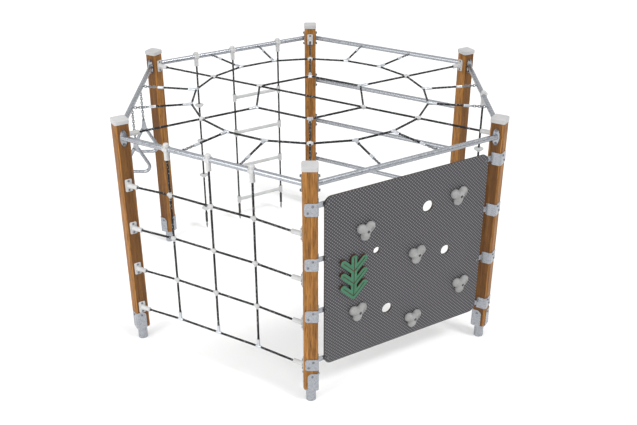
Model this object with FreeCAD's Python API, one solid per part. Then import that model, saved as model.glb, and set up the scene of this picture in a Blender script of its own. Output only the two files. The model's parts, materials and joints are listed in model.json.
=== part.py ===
import FreeCAD, Part
import math
import os

# Hexagonal climbing frame: six timber posts, top bars, an overhead rope net, a side net, a climbing
# panel, climbing bars, a rope ladder, two disc ropes and two trapezes.
# Millimetres. +Z is up, the origin is on the ground at the middle of the hexagon, and one post
# stands on -Y. Angles are counter-clockwise seen from above.

# Posts
POST_CIRCLE = 1500.0          # radius through the post centres, also the distance between posts
POST_WIDTH = 100.0
POST_CHAMFER = 12.0
POST_UNDERSIDE = 114.0
POST_ABOVE_BAR = 116.0
POST_ANGLES = {"front_left": 210, "front": 270, "front_right": 330,
               "back_right": 30, "back": 90, "back_left": 150}

# Post caps
CAP_OVERHANG = 4.0
CAP_THICKNESS = 12.0
CAP_SKIRT = 18.0
CAP_BULGE = 2.0
CAP_CORNER = 14.0
CAP_EDGE = 4.0
CAP_CLEARANCE = 0.2

# Pipe feet with angle plates
FOOT_PIPE_DIAMETER = 70.0
FOOT_PIPE_WALL = 4.0
FOOT_PLATE = 6.0
ANGLE_PLATE = 4.0
ANGLE_LEG = 77.0
ANGLE_TOP = 250.0
ANGLE_CORNER = 35.0
ANGLE_SCREW_DROP = 26.0
ANGLE_SCREW_INSET = 40.0

# Bars
BAR_DIAMETER = 38.0
BAR_WALL = 3.0
TOP_BAR_Z = 1680.0
CLIMB_BAR_PITCH = 400.0
FLANGE_HEIGHT = 140.0
FLANGE_MARGIN = 4.0
FLANGE_PLATE = 5.0
FLANGE_BOLT_SPREAD = 98.0
FLANGE_TIP = 13.0

# Screws and bolts
SCREW_DIAMETER = 8.0
SCREW_DEPTH = 30.0
SCREW_HEAD_DIAMETER = 16.0
SCREW_HEAD = 5.0
SCREW_DOME = 3.5
BOLT_DIAMETER = 10.0
BOLT_DEPTH = 40.0
BOLT_ACROSS_FLATS = 17.0
BOLT_HEAD = 7.0
WASHER_DIAMETER = 22.0
WASHER = 2.0

# Rope and its fittings
ROPE_DIAMETER = 16.0
BALL_DIAMETER = 36.0
COLLAR_WALL = 3.0
COLLAR_REACH = 22.0
TEE_HUB_WALL = 5.0
TEE_STEM_WALL = 4.0
TEE_STEM = 64.0
BRACKET_WIDTH = 50.0
BRACKET_HEIGHT = 95.0
BRACKET_PLATE = 6.0
BRACKET_CORNER = 8.3
BRACKET_SCREW_SPREAD = 70.0
NOSE_WALL = 9.0
NOSE_REACH = 80.0             # from the post face to the nose's mouth
NOSE_EDGE = 4.0

# Overhead net
OUTER_RING = 898.0
INNER_RING = 457.0
TIE_SPREAD = 20.0             # degrees from a post's spoke to its two neighbours on the outer ring
TIE_LINKS = 5
FERRULE_LENGTH = 50.0
FERRULE_WALL = 3.0

# Chain
CHAIN_WIRE = 6.0
CHAIN_INNER_LENGTH = 18.5
CHAIN_INNER_WIDTH = 8.4
CHAIN_GAP = 0.3
EYE_RING_DIAMETER = 26.0
EYE_WIRE = 6.0
EYE_SHANK = 6.0
EYE_SHANK_DIAMETER = 10.0
WIRE_GRIP = 5.0               # how deep a crimped sleeve holds the last link's end

# Side net
SIDE_NET_PITCH = 341.0
SIDE_NET_FIRST_DROP = 345.0    # from the bar down to the top row
SIDE_NET_RISE = 14.0          # the drops lift the rows above their post brackets
SLANT_GAP = 1.0               # lets a slanted row clear its bracket's mouth

# Bar clamps that carry the hanging ropes
CLAMP_CROWN = 21.0            # above the bar
CLAMP_SOCKET = 61.0           # below the bar
CLAMP_RING_WALL = 6.0
CLAMP_WIDTH = 42.0
CLAMP_DOME = 12.0
CLAMP_CLEARANCE = 0.05
SOCKET_DEPTH = 22.0
SOCKET_WALL = 2.0
SOCKET_FLARE = 10.0           # room round the rope at the socket's mouth
SOCKET_ROOM = 3.0             # room round the rope at the socket's end
ROPE_TOP_GAP = 4.0

# Rope ladder and disc ropes
STEP_PITCH = 340.0
FIRST_STEP_DROP = 440.0       # from the bar down to the top step
STEPS = 4
LADDER_MIDDLE = -203.0        # along the back left bar
LADDER_WIDTH = 447.0
RUNG_DIAMETER = 30.0
RUNG_SLEEVE_DIAMETER = 34.0
RUNG_SLEEVE = 68.0
LEFT_DISC_ROPE = 364.0        # along the back left bar
RIGHT_DISC_ROPE = 0.0         # along the right bar
DISC_DIAMETER = 76.0
DISC_RIM = 12.0
DISC_HUB_DIAMETER = 32.0
DISC_TOP = 12.0
DISC_TAPER = 22.0
END_SLEEVE_WALL = 4.0
END_SLEEVE_TOP = 172.0
END_SLEEVE = 100.0
END_LINKS = 3

# Trapezes
TRAPEZE_SPREAD = 380.0
TRAPEZE_UPPER_LINKS = 5
TRAPEZE_LOWER_LINKS = 6
TRAPEZE_TUBE = 26.0
TRAPEZE_WIDTH = 240.0
TRAPEZE_HEIGHT = 226.0
TRAPEZE_CORNER = 45.0
LEG_GAP = 2.0                 # between the tube's two ends under the gusset
GUSSET_HEIGHT = 62.0
GUSSET_PLATE = 6.0
GUSSET_LAP = 20.0
GUSSET_HOLE = 9.0
SHACKLE_WIRE = 6.0
SHACKLE_INNER_WIDTH = 14.0
SHACKLE_INNER_LENGTH = 22.0
PIN_DIAMETER = 8.0

# Climbing panel
PANEL_SIDE_GAP = 93.0         # from a post's centre to the panel's edge
PANEL_HEIGHT = 1290.0
PANEL_MIDDLE_Z = 920.0
PANEL_PLATE = 15.0
PANEL_FACE_OFFSET = 28.0      # outer face, outward of the line through the post centres
PANEL_CORNER = 50.0
PANEL_BRACKET_PITCH = 398.0
PANEL_BRACKETS = 4
PANEL_BRACKET_HEIGHT = 92.0
PANEL_BRACKET_MARGIN = 12.0    # from its free edge to the far edge of the post's face
PANEL_BRACKET_PLATE = 4.0
PANEL_BRACKET_CORNER = 18.0
PANEL_SCREW_ACROSS = 16.0
PANEL_SCREW_RISE = 23.0
PANEL_TAB_HEIGHT = 40.0
PANEL_TAB_LAP = 42.0
PANEL_TAB_BOLT_INSET = 23.0
PANEL_HOLES = [(155, 371, 84), (332, -23, 74), (-150, -352, 80), (-255, 147, 50)]
HOLDS = [(-348, 332), (81, 24), (413, 393), (491, -349), (-396, -290), (76, -507)]
HOLD_TURN = 32.0
HOLD_DIAMETER = 140.0
HOLD_LOBE_DIAMETER = 60.0
HOLD_DEPTH = 38.0
HOLD_EDGE = 9.0
HOLD_BOLT_ROOM = 0.5
HOLD_BOLT_SINK = 14.0          # from a hold's top down to its bolt's head
LEAF_AT = (-442.0, -178.0)    # tip of the leaf, from the middle of the panel
LEAF_LENGTH = 351.0
LEAF_PLATE = 18.0
LEAF_SHOULDER = 87.0
LEAF_FIRST_VEIN = 34.0
LEAF_VEIN_SPREAD = 82.0
LEAF_VEIN_PITCH = 97.0
LEAF_VEIN_RISE = 82.0
LEAF_LOBE_DIAMETER = 45.0
LEAF_STEM_WIDTH = 60.0
VEIN_WIDTH = 6.0
VEIN_DEPTH = 3.0

# Worked out from the values above
UP = FreeCAD.Vector(0, 0, 1)
HALF_POST = POST_WIDTH / 2
SIDE_LINE = POST_CIRCLE * math.cos(math.radians(30))
BAR_LINE = SIDE_LINE + HALF_POST * math.sin(math.radians(30))
BAR_HALF = POST_CIRCLE / 2 - HALF_POST * math.cos(math.radians(30))
BAR_RADIUS = BAR_DIAMETER / 2
POST_TOP = TOP_BAR_Z + POST_ABOVE_BAR
FLANGE_WIDTH = BAR_DIAMETER / math.cos(math.radians(30)) + 2 * FLANGE_MARGIN
COLLAR_DIAMETER = ROPE_DIAMETER + 2 * COLLAR_WALL
TEE_HUB_DIAMETER = ROPE_DIAMETER + 2 * TEE_HUB_WALL
TEE_STEM_DIAMETER = ROPE_DIAMETER + 2 * TEE_STEM_WALL
NOSE_DIAMETER = ROPE_DIAMETER + 2 * NOSE_WALL
FERRULE_DIAMETER = ROPE_DIAMETER + 2 * FERRULE_WALL
END_SLEEVE_DIAMETER = ROPE_DIAMETER + 2 * END_SLEEVE_WALL
SIDE_NET_TOP_ROW = TOP_BAR_Z - SIDE_NET_FIRST_DROP
CLAMP_TOP = BAR_RADIUS + CLAMP_CROWN
CLAMP_DROP = BAR_RADIUS + CLAMP_SOCKET
SOCKET_MOUTH_DIAMETER = ROPE_DIAMETER + 2 * SOCKET_FLARE
SOCKET_END_DIAMETER = ROPE_DIAMETER + 2 * SOCKET_ROOM
CLAMP_DIAMETER = SOCKET_MOUTH_DIAMETER + 2 * SOCKET_WALL
TOP_STEP_Z = TOP_BAR_Z - FIRST_STEP_DROP
PANEL_WIDTH = POST_CIRCLE - 2 * PANEL_SIDE_GAP
LINK_PITCH = CHAIN_INNER_LENGTH - CHAIN_GAP
LINK_REACH = CHAIN_INNER_LENGTH / 2 + CHAIN_WIRE
SIDES = [("front_left", "front_left", "front"), ("front_right", "front", "front_right"),
         ("right", "front_right", "back_right"), ("back_right", "back_right", "back"),
         ("back_left", "back", "back_left"), ("left", "back_left", "front_left")]


def vec(x, y, z):
    return FreeCAD.Vector(x, y, z)


def polar(radius, degrees, z):
    return vec(radius * math.cos(math.radians(degrees)), radius * math.sin(math.radians(degrees)), z)


def turned(shape, degrees):
    """A copy turned about the frame's vertical axis."""
    copy = shape.copy()
    copy.rotate(vec(0, 0, 0), UP, degrees)
    return copy


def moved(shape, x, y, z):
    copy = shape.copy()
    copy.translate(vec(x, y, z))
    return copy


def placed(shape, at, x_dir, y_dir):
    """A copy whose own X and Y axes point along x_dir and y_dir, with its origin at a point."""
    z_dir = x_dir.cross(y_dir)
    matrix = FreeCAD.Matrix(x_dir.x, y_dir.x, z_dir.x, at.x,
                            x_dir.y, y_dir.y, z_dir.y, at.y,
                            x_dir.z, y_dir.z, z_dir.z, at.z)
    copy = shape.copy()
    copy.Placement = FreeCAD.Placement(matrix)
    return copy


def box(x0, x1, y0, y1, z0, z1):
    return Part.makeBox(x1 - x0, y1 - y0, z1 - z0, vec(x0, y0, z0))


def rod(start, end, diameter):
    return Part.makeCylinder(diameter / 2, (end - start).Length, start, end - start)


def trimmed_rod(start, end, diameter, start_gap, end_gap):
    """A straight rod between two points, stopped short of each."""
    along = (end - start).normalize()
    return rod(start + along * start_gap, end - along * end_gap, diameter)


def merged(shapes):
    result = shapes[0].multiFuse(shapes[1:]) if len(shapes) > 1 else shapes[0]
    return result.removeSplitter()


def drilled(shape, tools):
    """The shape with the tools' space taken out, when their boxes meet."""
    near = [tool for tool in tools if tool.BoundBox.intersect(shape.BoundBox)]
    return shape.cut(near) if near else shape


def side_angle(side):
    """Direction of a side's outward normal."""
    first = next(start for name, start, end in SIDES if name == side)
    return POST_ANGLES[first] + 30


def side_point(side, outward, along, z):
    """A point in a side's own frame: outward from the middle, along it counter-clockwise, and up."""
    point = vec(outward, along, z)
    return FreeCAD.Rotation(UP, side_angle(side)).multVec(point)


def save(name, solids):
    shape = solids[0] if len(solids) == 1 else Part.makeCompound(solids)
    shape.exportStep(os.path.join("parts", name + ".step"))


# Fasteners

def hex_prism(across_flats, height):
    radius = across_flats / math.sqrt(3)
    points = [polar(radius, 60 * k, 0) for k in range(7)]
    return Part.Face(Part.makePolygon(points)).extrude(vec(0, 0, height))


def screw_shape(depth):
    """Dome-headed screw. Its head sits on X = 0 and its shank points along -X."""
    shank = rod(vec(-depth, 0, 0), vec(0, 0, 0), SCREW_DIAMETER)
    head = rod(vec(0, 0, 0), vec(SCREW_HEAD, 0, 0), SCREW_HEAD_DIAMETER)
    rim = [edge for edge in head.Edges if edge.BoundBox.XMin > SCREW_HEAD - 0.1]
    return merged([shank, head.makeFillet(SCREW_DOME, rim)])


def bolt_shape(depth):
    """Hexagon bolt with a washer. The washer sits on X = 0 and the shank points along -X."""
    shank = rod(vec(-depth, 0, 0), vec(0, 0, 0), BOLT_DIAMETER)
    washer = rod(vec(0, 0, 0), vec(WASHER, 0, 0), WASHER_DIAMETER)
    head = placed(hex_prism(BOLT_ACROSS_FLATS, BOLT_HEAD), vec(WASHER, 0, 0), vec(0, 0, 1), vec(0, -1, 0))
    return merged([shank, washer, head])


def on_post(shape, post, face, across, z, stand_off):
    """A shape made on X = 0 facing +X, put on a post's face: face is 0 outward, 90, 180 inward or 270."""
    copy = moved(shape, HALF_POST + stand_off, across, z)
    copy.rotate(vec(0, 0, 0), UP, face)
    copy.translate(vec(POST_CIRCLE, 0, 0))
    return turned(copy, POST_ANGLES[post])


# Posts, caps and feet

def post_outline(width):
    """Chamfered square prism on a post's axis, one unit high from z = 0."""
    half = width / 2
    cut = half - POST_CHAMFER
    corners = [(half, -cut), (half, cut), (cut, half), (-cut, half),
               (-half, cut), (-half, -cut), (-cut, -half), (cut, -half), (half, -cut)]
    return Part.Face(Part.makePolygon([vec(x, y, 0) for x, y in corners]))


def post_prism(width, z0, z1):
    return moved(post_outline(width).extrude(vec(0, 0, z1 - z0)), POST_CIRCLE, 0, z0)


def make_post(name, tools):
    prism = turned(post_prism(POST_WIDTH, POST_UNDERSIDE, POST_TOP), POST_ANGLES[name])
    return drilled(prism, tools)


def make_cap(name):
    half = HALF_POST + CAP_OVERHANG
    flat = half - CAP_BULGE
    corners = [vec(flat, -flat, 0), vec(flat, flat, 0), vec(-flat, flat, 0), vec(-flat, -flat, 0)]
    middles = [vec(half, 0, 0), vec(0, half, 0), vec(-half, 0, 0), vec(0, -half, 0)]
    sides = [Part.Arc(corners[k], middles[k], corners[(k + 1) % 4]).toShape() for k in range(4)]
    block = Part.Face(Part.Wire(sides)).extrude(vec(0, 0, CAP_SKIRT + CAP_THICKNESS))
    upright = [edge for edge in block.Edges if edge.BoundBox.ZLength > CAP_SKIRT]
    block = block.makeFillet(CAP_CORNER, upright)
    rim = [edge for edge in block.Edges if edge.BoundBox.ZMin > CAP_SKIRT + CAP_THICKNESS - 0.1]
    block = moved(block.makeChamfer(CAP_EDGE, rim), POST_CIRCLE, 0, POST_TOP - CAP_SKIRT)
    recess = post_prism(POST_WIDTH + 2 * CAP_CLEARANCE, POST_TOP - CAP_SKIRT - 1, POST_TOP)
    return turned(block.cut(recess), POST_ANGLES[name])


def angle_plate(turn):
    """L-shaped plate that wraps one corner of a post, with its free top corners rounded."""
    foot = POST_UNDERSIDE - FOOT_PLATE
    outer = HALF_POST + ANGLE_PLATE
    inner = outer - ANGLE_LEG
    shell = post_prism(POST_WIDTH + 2 * ANGLE_PLATE, foot, ANGLE_TOP)
    shell = moved(shell.cut(post_prism(POST_WIDTH, foot, ANGLE_TOP)), -POST_CIRCLE, 0, 0)
    plate = shell.common(box(inner, outer, inner, outer, foot, ANGLE_TOP))
    round_z = ANGLE_TOP - ANGLE_CORNER
    corner = box(inner, inner + ANGLE_CORNER, -outer, outer, round_z, ANGLE_TOP)
    round_x = inner + ANGLE_CORNER
    keep = rod(vec(round_x, -outer, round_z), vec(round_x, outer, round_z), 2 * ANGLE_CORNER)
    cutter = corner.cut(keep)
    mirrored = cutter.mirror(vec(0, 0, 0), vec(1, -1, 0))
    plate = plate.cut([cutter.common(box(inner, outer, HALF_POST, outer, foot, ANGLE_TOP)),
                       mirrored.common(box(HALF_POST, outer, inner, outer, foot, ANGLE_TOP))])
    plate.rotate(vec(0, 0, 0), UP, turn)
    return moved(plate, POST_CIRCLE, 0, 0)


def make_foot(name, tools):
    """Pipe, square top plate and two angle plates, welded together."""
    foot_z = POST_UNDERSIDE - FOOT_PLATE
    centre = vec(POST_CIRCLE, 0, 0)
    pipe = rod(centre, centre + vec(0, 0, foot_z), FOOT_PIPE_DIAMETER)
    pipe = pipe.cut(rod(centre, centre + vec(0, 0, foot_z), FOOT_PIPE_DIAMETER - 2 * FOOT_PIPE_WALL))
    plate = post_prism(POST_WIDTH, foot_z, POST_UNDERSIDE)
    pieces = [pipe, plate, angle_plate(0), angle_plate(180)]
    return [drilled(turned(piece, POST_ANGLES[name]), tools) for piece in pieces]


def foot_screws(name):
    across = HALF_POST - ANGLE_SCREW_INSET
    z = ANGLE_TOP - ANGLE_SCREW_DROP
    places = [(0, across), (90, -across), (180, across), (270, -across)]
    return [on_post(screw_shape(SCREW_DEPTH), name, face, side, z, ANGLE_PLATE) for face, side in places]


# Bars

def flange():
    """Lens-shaped plate on X = 0, standing upright, with its outline made of two arcs."""
    tip, side = FLANGE_HEIGHT / 2, FLANGE_WIDTH / 2
    left = Part.Arc(vec(0, 0, tip), vec(0, side, 0), vec(0, 0, -tip)).toShape()
    right = Part.Arc(vec(0, 0, -tip), vec(0, -side, 0), vec(0, 0, tip)).toShape()
    plate = Part.Face(Part.Wire([left, right])).extrude(vec(FLANGE_PLATE, 0, 0))
    tips = [edge for edge in plate.Edges if edge.BoundBox.ZLength < 0.1 and edge.BoundBox.YLength < 0.1]
    return plate.makeFillet(FLANGE_TIP, tips)


def flange_bolts(side, start, end, z):
    bolts = []
    for post, face in ((start, 90), (end, 270)):
        for up in (-1, 1):
            height = z + up * FLANGE_BOLT_SPREAD / 2
            bolts.append(on_post(bolt_shape(BOLT_DEPTH), post, face, 0, height, FLANGE_PLATE))
    return bolts


def make_bar(side, start, end, z, tools):
    """Tube between two posts, cut to their faces, with a flange at each end."""
    past = BAR_HALF + BAR_RADIUS
    tube = rod(vec(BAR_LINE, -past, z), vec(BAR_LINE, past, z), BAR_DIAMETER)
    tube = turned(tube, side_angle(side))
    bore = rod(vec(BAR_LINE, -past, z), vec(BAR_LINE, past, z), BAR_DIAMETER - 2 * BAR_WALL)
    bore = turned(bore, side_angle(side))
    block = post_prism(POST_WIDTH + 2 * FLANGE_PLATE, z - BAR_DIAMETER, z + BAR_DIAMETER)
    blocks = [turned(block, POST_ANGLES[post]) for post in (start, end)]
    flanges = [on_post(flange(), start, 90, 0, z, 0), on_post(flange(), end, 270, 0, z, 0)]
    return [tube.cut([bore] + blocks)] + [drilled(plate, tools).cut(bore) for plate in flanges]


# Rope fittings

def ball_joint(centre, directions):
    """Ball with a short collar round each rope that enters it."""
    ball = Part.makeSphere(BALL_DIAMETER / 2, centre, directions[0])
    collars = [rod(centre, centre + along * COLLAR_REACH, COLLAR_DIAMETER) for along in directions]
    return merged([ball] + collars)


def tee_joint(centre, stem, directions):
    """Metal tee: a round hub with a long stem on one rope and short collars on the others."""
    hub = Part.makeSphere(TEE_HUB_DIAMETER / 2, centre, directions[0])
    sleeve = rod(centre, centre + stem * TEE_STEM, TEE_STEM_DIAMETER)
    collars = [rod(centre, centre + along * COLLAR_REACH, COLLAR_DIAMETER) for along in directions]
    return merged([hub, sleeve] + collars)


def bracket_shape(lean):
    """Post bracket on X = 0: a plate and a round nose that leans sideways by an angle in degrees."""
    half_width, half_height = BRACKET_WIDTH / 2, BRACKET_HEIGHT / 2
    plate = box(0, BRACKET_PLATE, -half_width, half_width, -half_height, half_height)
    corners = [edge for edge in plate.Edges if edge.BoundBox.YLength < 0.1 and edge.BoundBox.ZLength < 0.1]
    plate = plate.makeFillet(BRACKET_CORNER, corners)
    along = vec(math.cos(math.radians(lean)), math.sin(math.radians(lean)), 0)
    nose = rod(vec(0, 0, 0), along * NOSE_REACH, NOSE_DIAMETER)
    mouth = [edge for edge in nose.Edges if edge.CenterOfMass.sub(along * NOSE_REACH).Length < 1]
    nose = nose.makeChamfer(NOSE_EDGE, mouth)
    behind = box(-BRACKET_HEIGHT, 0, -BRACKET_HEIGHT, BRACKET_HEIGHT, -BRACKET_HEIGHT, BRACKET_HEIGHT)
    return merged([plate, nose.cut(behind)])


def bracket_screws(post, face, z):
    offsets = [-BRACKET_SCREW_SPREAD / 2, BRACKET_SCREW_SPREAD / 2]
    return [on_post(screw_shape(SCREW_DEPTH), post, face, 0, z + up, BRACKET_PLATE) for up in offsets]


def clamp_shape():
    """Clamp round a bar that runs along Y through the origin, with a flared rope socket below."""
    body = rod(vec(0, 0, -CLAMP_DROP), vec(0, 0, CLAMP_TOP), CLAMP_DIAMETER)
    crown = [edge for edge in body.Edges if edge.BoundBox.ZMin > CLAMP_TOP - 0.1]
    body = body.makeFillet(CLAMP_DOME, crown)
    half = CLAMP_WIDTH / 2
    ring = rod(vec(0, -half, 0), vec(0, half, 0), BAR_DIAMETER + 2 * CLAMP_RING_WALL)
    bore = rod(vec(0, -CLAMP_WIDTH, 0), vec(0, CLAMP_WIDTH, 0), BAR_DIAMETER + 2 * CLAMP_CLEARANCE)
    mouth, end = SOCKET_MOUTH_DIAMETER / 2, SOCKET_END_DIAMETER / 2
    socket = Part.makeCone(mouth, end, SOCKET_DEPTH, vec(0, 0, -CLAMP_DROP))
    return merged([body, ring]).cut([bore, socket])


def make_clamp(side, along):
    return turned(moved(clamp_shape(), BAR_LINE, along, TOP_BAR_Z), side_angle(side))


def rope_top():
    """Height of a hanging rope's end inside its clamp's socket."""
    return TOP_BAR_Z - CLAMP_DROP + SOCKET_DEPTH - ROPE_TOP_GAP


# Chain

def link_shape():
    """One chain link about the origin, long along X and wide along Y."""
    radius = (CHAIN_INNER_WIDTH + CHAIN_WIRE) / 2
    half = (CHAIN_INNER_LENGTH - CHAIN_INNER_WIDTH) / 2
    sides = [rod(vec(-half, y, 0), vec(half, y, 0), CHAIN_WIRE) for y in (-radius, radius)]
    bend = Part.makeTorus(radius, CHAIN_WIRE / 2, vec(0, 0, 0), UP, -180, 180, 180)
    ends = [placed(bend, vec(half, 0, 0), vec(0, -1, 0), vec(1, 0, 0)),
            placed(bend, vec(-half, 0, 0), vec(0, 1, 0), vec(-1, 0, 0))]
    return merged(sides + ends)


def chain(first, along, wide, count):
    """Links in a row from the centre of the first; every other link is turned by a quarter."""
    link = link_shape()
    across = [wide, along.cross(wide)]
    return [placed(link, first + along * (LINK_PITCH * k), along, across[k % 2]) for k in range(count)]


def eye_shape():
    """Ring bolt on X = 0: a short shank and an upright ring in the XZ plane."""
    shank = rod(vec(-EYE_SHANK / 2, 0, 0), vec(EYE_SHANK, 0, 0), EYE_SHANK_DIAMETER)
    centre = EYE_SHANK + (EYE_RING_DIAMETER - EYE_WIRE) / 2
    ring = Part.makeTorus((EYE_RING_DIAMETER - EYE_WIRE) / 2, EYE_WIRE / 2, vec(centre, 0, 0), vec(0, 1, 0))
    return merged([shank, ring])


def eye_far_wire():
    """Distance from an eye's seat to the middle of its ring's far wire."""
    return EYE_SHANK + EYE_RING_DIAMETER - EYE_WIRE


def first_link():
    """Distance from an eye's far wire to the centre of the link that hangs in it."""
    return CHAIN_INNER_LENGTH / 2 - EYE_WIRE / 2 - CHAIN_GAP


# Overhead net

def ring_angles():
    """Angles of the outer ring's joints, each with its kind."""
    joints = []
    for angle in sorted(POST_ANGLES.values()):
        joints += [(angle - TIE_SPREAD, "tee"), (angle, "ball"), (angle + TIE_SPREAD, "tee")]
    return joints


def toward(start, end):
    return (end - start).normalize()


def ring_ropes(points):
    ends = points[1:] + points[:1]
    return [trimmed_rod(a, b, ROPE_DIAMETER, COLLAR_REACH, COLLAR_REACH) for a, b in zip(points, ends)]


def make_overhead_net():
    joints = ring_angles()
    outer = [polar(OUTER_RING, angle, TOP_BAR_Z) for angle, kind in joints]
    inner = [polar(INNER_RING, angle, TOP_BAR_Z) for angle in sorted(POST_ANGLES.values())]
    balls, tees, spokes = [], [], []
    cross_ends = [POST_ANGLES["back_left"], POST_ANGLES["front_right"]]
    for k, (angle, kind) in enumerate(joints):
        here = outer[k]
        out = polar(1, angle, 0)
        ring = [toward(here, outer[k - 1]), toward(here, outer[(k + 1) % len(outer)])]
        if kind == "ball":
            balls.append(ball_joint(here, ring + [out, out * -1]))
        else:
            tees.append(tee_joint(here, out, ring))
    for k, angle in enumerate(sorted(POST_ANGLES.values())):
        here = inner[k]
        out = polar(1, angle, 0)
        ring = [toward(here, inner[k - 1]), toward(here, inner[(k + 1) % 6])]
        crossing = angle in cross_ends
        if crossing:
            balls.append(ball_joint(here, ring + [out, out * -1]))
        else:
            tees.append(tee_joint(here, out, ring))
        nose = polar(POST_CIRCLE - HALF_POST - NOSE_REACH, angle, TOP_BAR_Z)
        ball = polar(OUTER_RING, angle, TOP_BAR_Z)
        spokes.append(trimmed_rod(nose, ball, ROPE_DIAMETER, 0, COLLAR_REACH))
        inner_stop = COLLAR_REACH if crossing else TEE_STEM
        spokes.append(trimmed_rod(ball, here, ROPE_DIAMETER, COLLAR_REACH, inner_stop))
    ends = [polar(INNER_RING, angle, TOP_BAR_Z) for angle in cross_ends]
    cross = trimmed_rod(ends[0], ends[1], ROPE_DIAMETER, COLLAR_REACH, COLLAR_REACH)
    save("net_ball_joints", balls)
    save("net_t_joints", tees)
    save("net_spoke_ropes", spokes)
    save("net_outer_ring_ropes", ring_ropes(outer))
    save("net_inner_ring_ropes", ring_ropes(inner))
    save("net_cross_rope", [cross])


def bar_core(side):
    """The solid space of a side's top bar."""
    return turned(rod(vec(BAR_LINE, -BAR_HALF, TOP_BAR_Z), vec(BAR_LINE, BAR_HALF, TOP_BAR_Z), BAR_DIAMETER),
                  side_angle(side))


def make_ties(eyes):
    """The twelve radial ties: rope, ferrule, chain and the eye on the bar."""
    ropes, ferrules, chains = [], [], []
    for side, start, end in SIDES:
        for turn in (TIE_SPREAD, 60 - TIE_SPREAD):
            angle = POST_ANGLES[start] + turn
            seat_radius = (BAR_LINE - BAR_RADIUS) / math.cos(math.radians(angle - side_angle(side)))
            seat = polar(seat_radius, angle, TOP_BAR_Z)
            inward = polar(-1, angle, 0)
            eyes.append(placed(eye_shape(), seat, inward, UP.cross(inward)).cut(bar_core(side)))
            links = chain(seat + inward * (eye_far_wire() + first_link()), inward, inward.cross(UP), TIE_LINKS)
            sleeve_start = links[-1].Placement.Base + inward * (LINK_REACH - WIRE_GRIP)
            sleeve_end = sleeve_start + inward * FERRULE_LENGTH
            ferrules.append(rod(sleeve_start, sleeve_end, FERRULE_DIAMETER).cut(links[-1]))
            ropes.append(rod(sleeve_end, polar(OUTER_RING + TEE_STEM, angle, TOP_BAR_Z), ROPE_DIAMETER))
            chains += links
    save("net_tie_ropes", ropes)
    save("net_tie_ferrules", ferrules)
    save("net_tie_chains", chains)


# Side net on the front left side

def row_height(row):
    return SIDE_NET_TOP_ROW - SIDE_NET_PITCH * row


def make_side_net():
    side = "front_left"
    columns = [-SIDE_NET_PITCH, 0, SIDE_NET_PITCH]
    nose_end = BAR_HALF - NOSE_REACH
    rows, drops, balls, tees = [], [], [], []
    for row in range(4):
        z = row_height(row)
        ends = [side_point(side, BAR_LINE, along, z - SIDE_NET_RISE) for along in (-nose_end, nose_end)]
        knots = [side_point(side, BAR_LINE, along, z) for along in columns]
        route = [ends[0]] + knots + [ends[1]]
        gaps = [SLANT_GAP] + [COLLAR_REACH] * 3 + [SLANT_GAP]
        rows += [trimmed_rod(route[k], route[k + 1], ROPE_DIAMETER, gaps[k], gaps[k + 1]) for k in range(4)]
        for k, knot in enumerate(knots):
            ring = [toward(knot, route[k]), toward(knot, route[k + 2])]
            if row < 3:
                balls.append(ball_joint(knot, ring + [UP, UP * -1]))
            else:
                tees.append(tee_joint(knot, UP, ring))
    for along in columns:
        drops.append(rod(side_point(side, BAR_LINE, along, rope_top()),
                         side_point(side, BAR_LINE, along, row_height(0) + COLLAR_REACH), ROPE_DIAMETER))
        for row in range(3):
            low_gap = COLLAR_REACH if row < 2 else TEE_STEM
            drops.append(trimmed_rod(side_point(side, BAR_LINE, along, row_height(row)),
                                     side_point(side, BAR_LINE, along, row_height(row + 1)),
                                     ROPE_DIAMETER, COLLAR_REACH, low_gap))
    save("side_net_row_ropes", rows)
    save("side_net_drop_ropes", drops)
    save("side_net_ball_joints", balls)
    save("side_net_t_joints", tees)
    save("side_net_bar_clamps", [make_clamp(side, along) for along in columns])


def side_net_bracket_places():
    """Post, face and height of the side net's eight post brackets."""
    heights = [row_height(row) - SIDE_NET_RISE for row in range(4)]
    return [("front_left", 90, z, 30) for z in heights] + [("front", 270, z, -30) for z in heights]


# Climbing panel on the front right side

def on_panel(shape, along, up):
    """A shape made on X = 0 facing +X, put on the panel's outer face."""
    copy = moved(shape, SIDE_LINE + PANEL_FACE_OFFSET, along, PANEL_MIDDLE_Z + up)
    return turned(copy, side_angle("front_right"))


def make_panel(tools):
    plate = box(-PANEL_PLATE, 0, -PANEL_WIDTH / 2, PANEL_WIDTH / 2, -PANEL_HEIGHT / 2, PANEL_HEIGHT / 2)
    corners = [edge for edge in plate.Edges if edge.BoundBox.XLength > PANEL_PLATE / 2]
    plate = plate.makeFillet(PANEL_CORNER, corners)
    holes = []
    for along, up, diameter in PANEL_HOLES:
        holes.append(rod(vec(-PANEL_PLATE, along, up), vec(0, along, up), diameter))
    return drilled(on_panel(plate.cut(holes), 0, 0), tools)


def bracket_heights():
    first = (PANEL_BRACKETS - 1) / 2
    return [PANEL_BRACKET_PITCH * (k - first) for k in range(PANEL_BRACKETS)]


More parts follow.
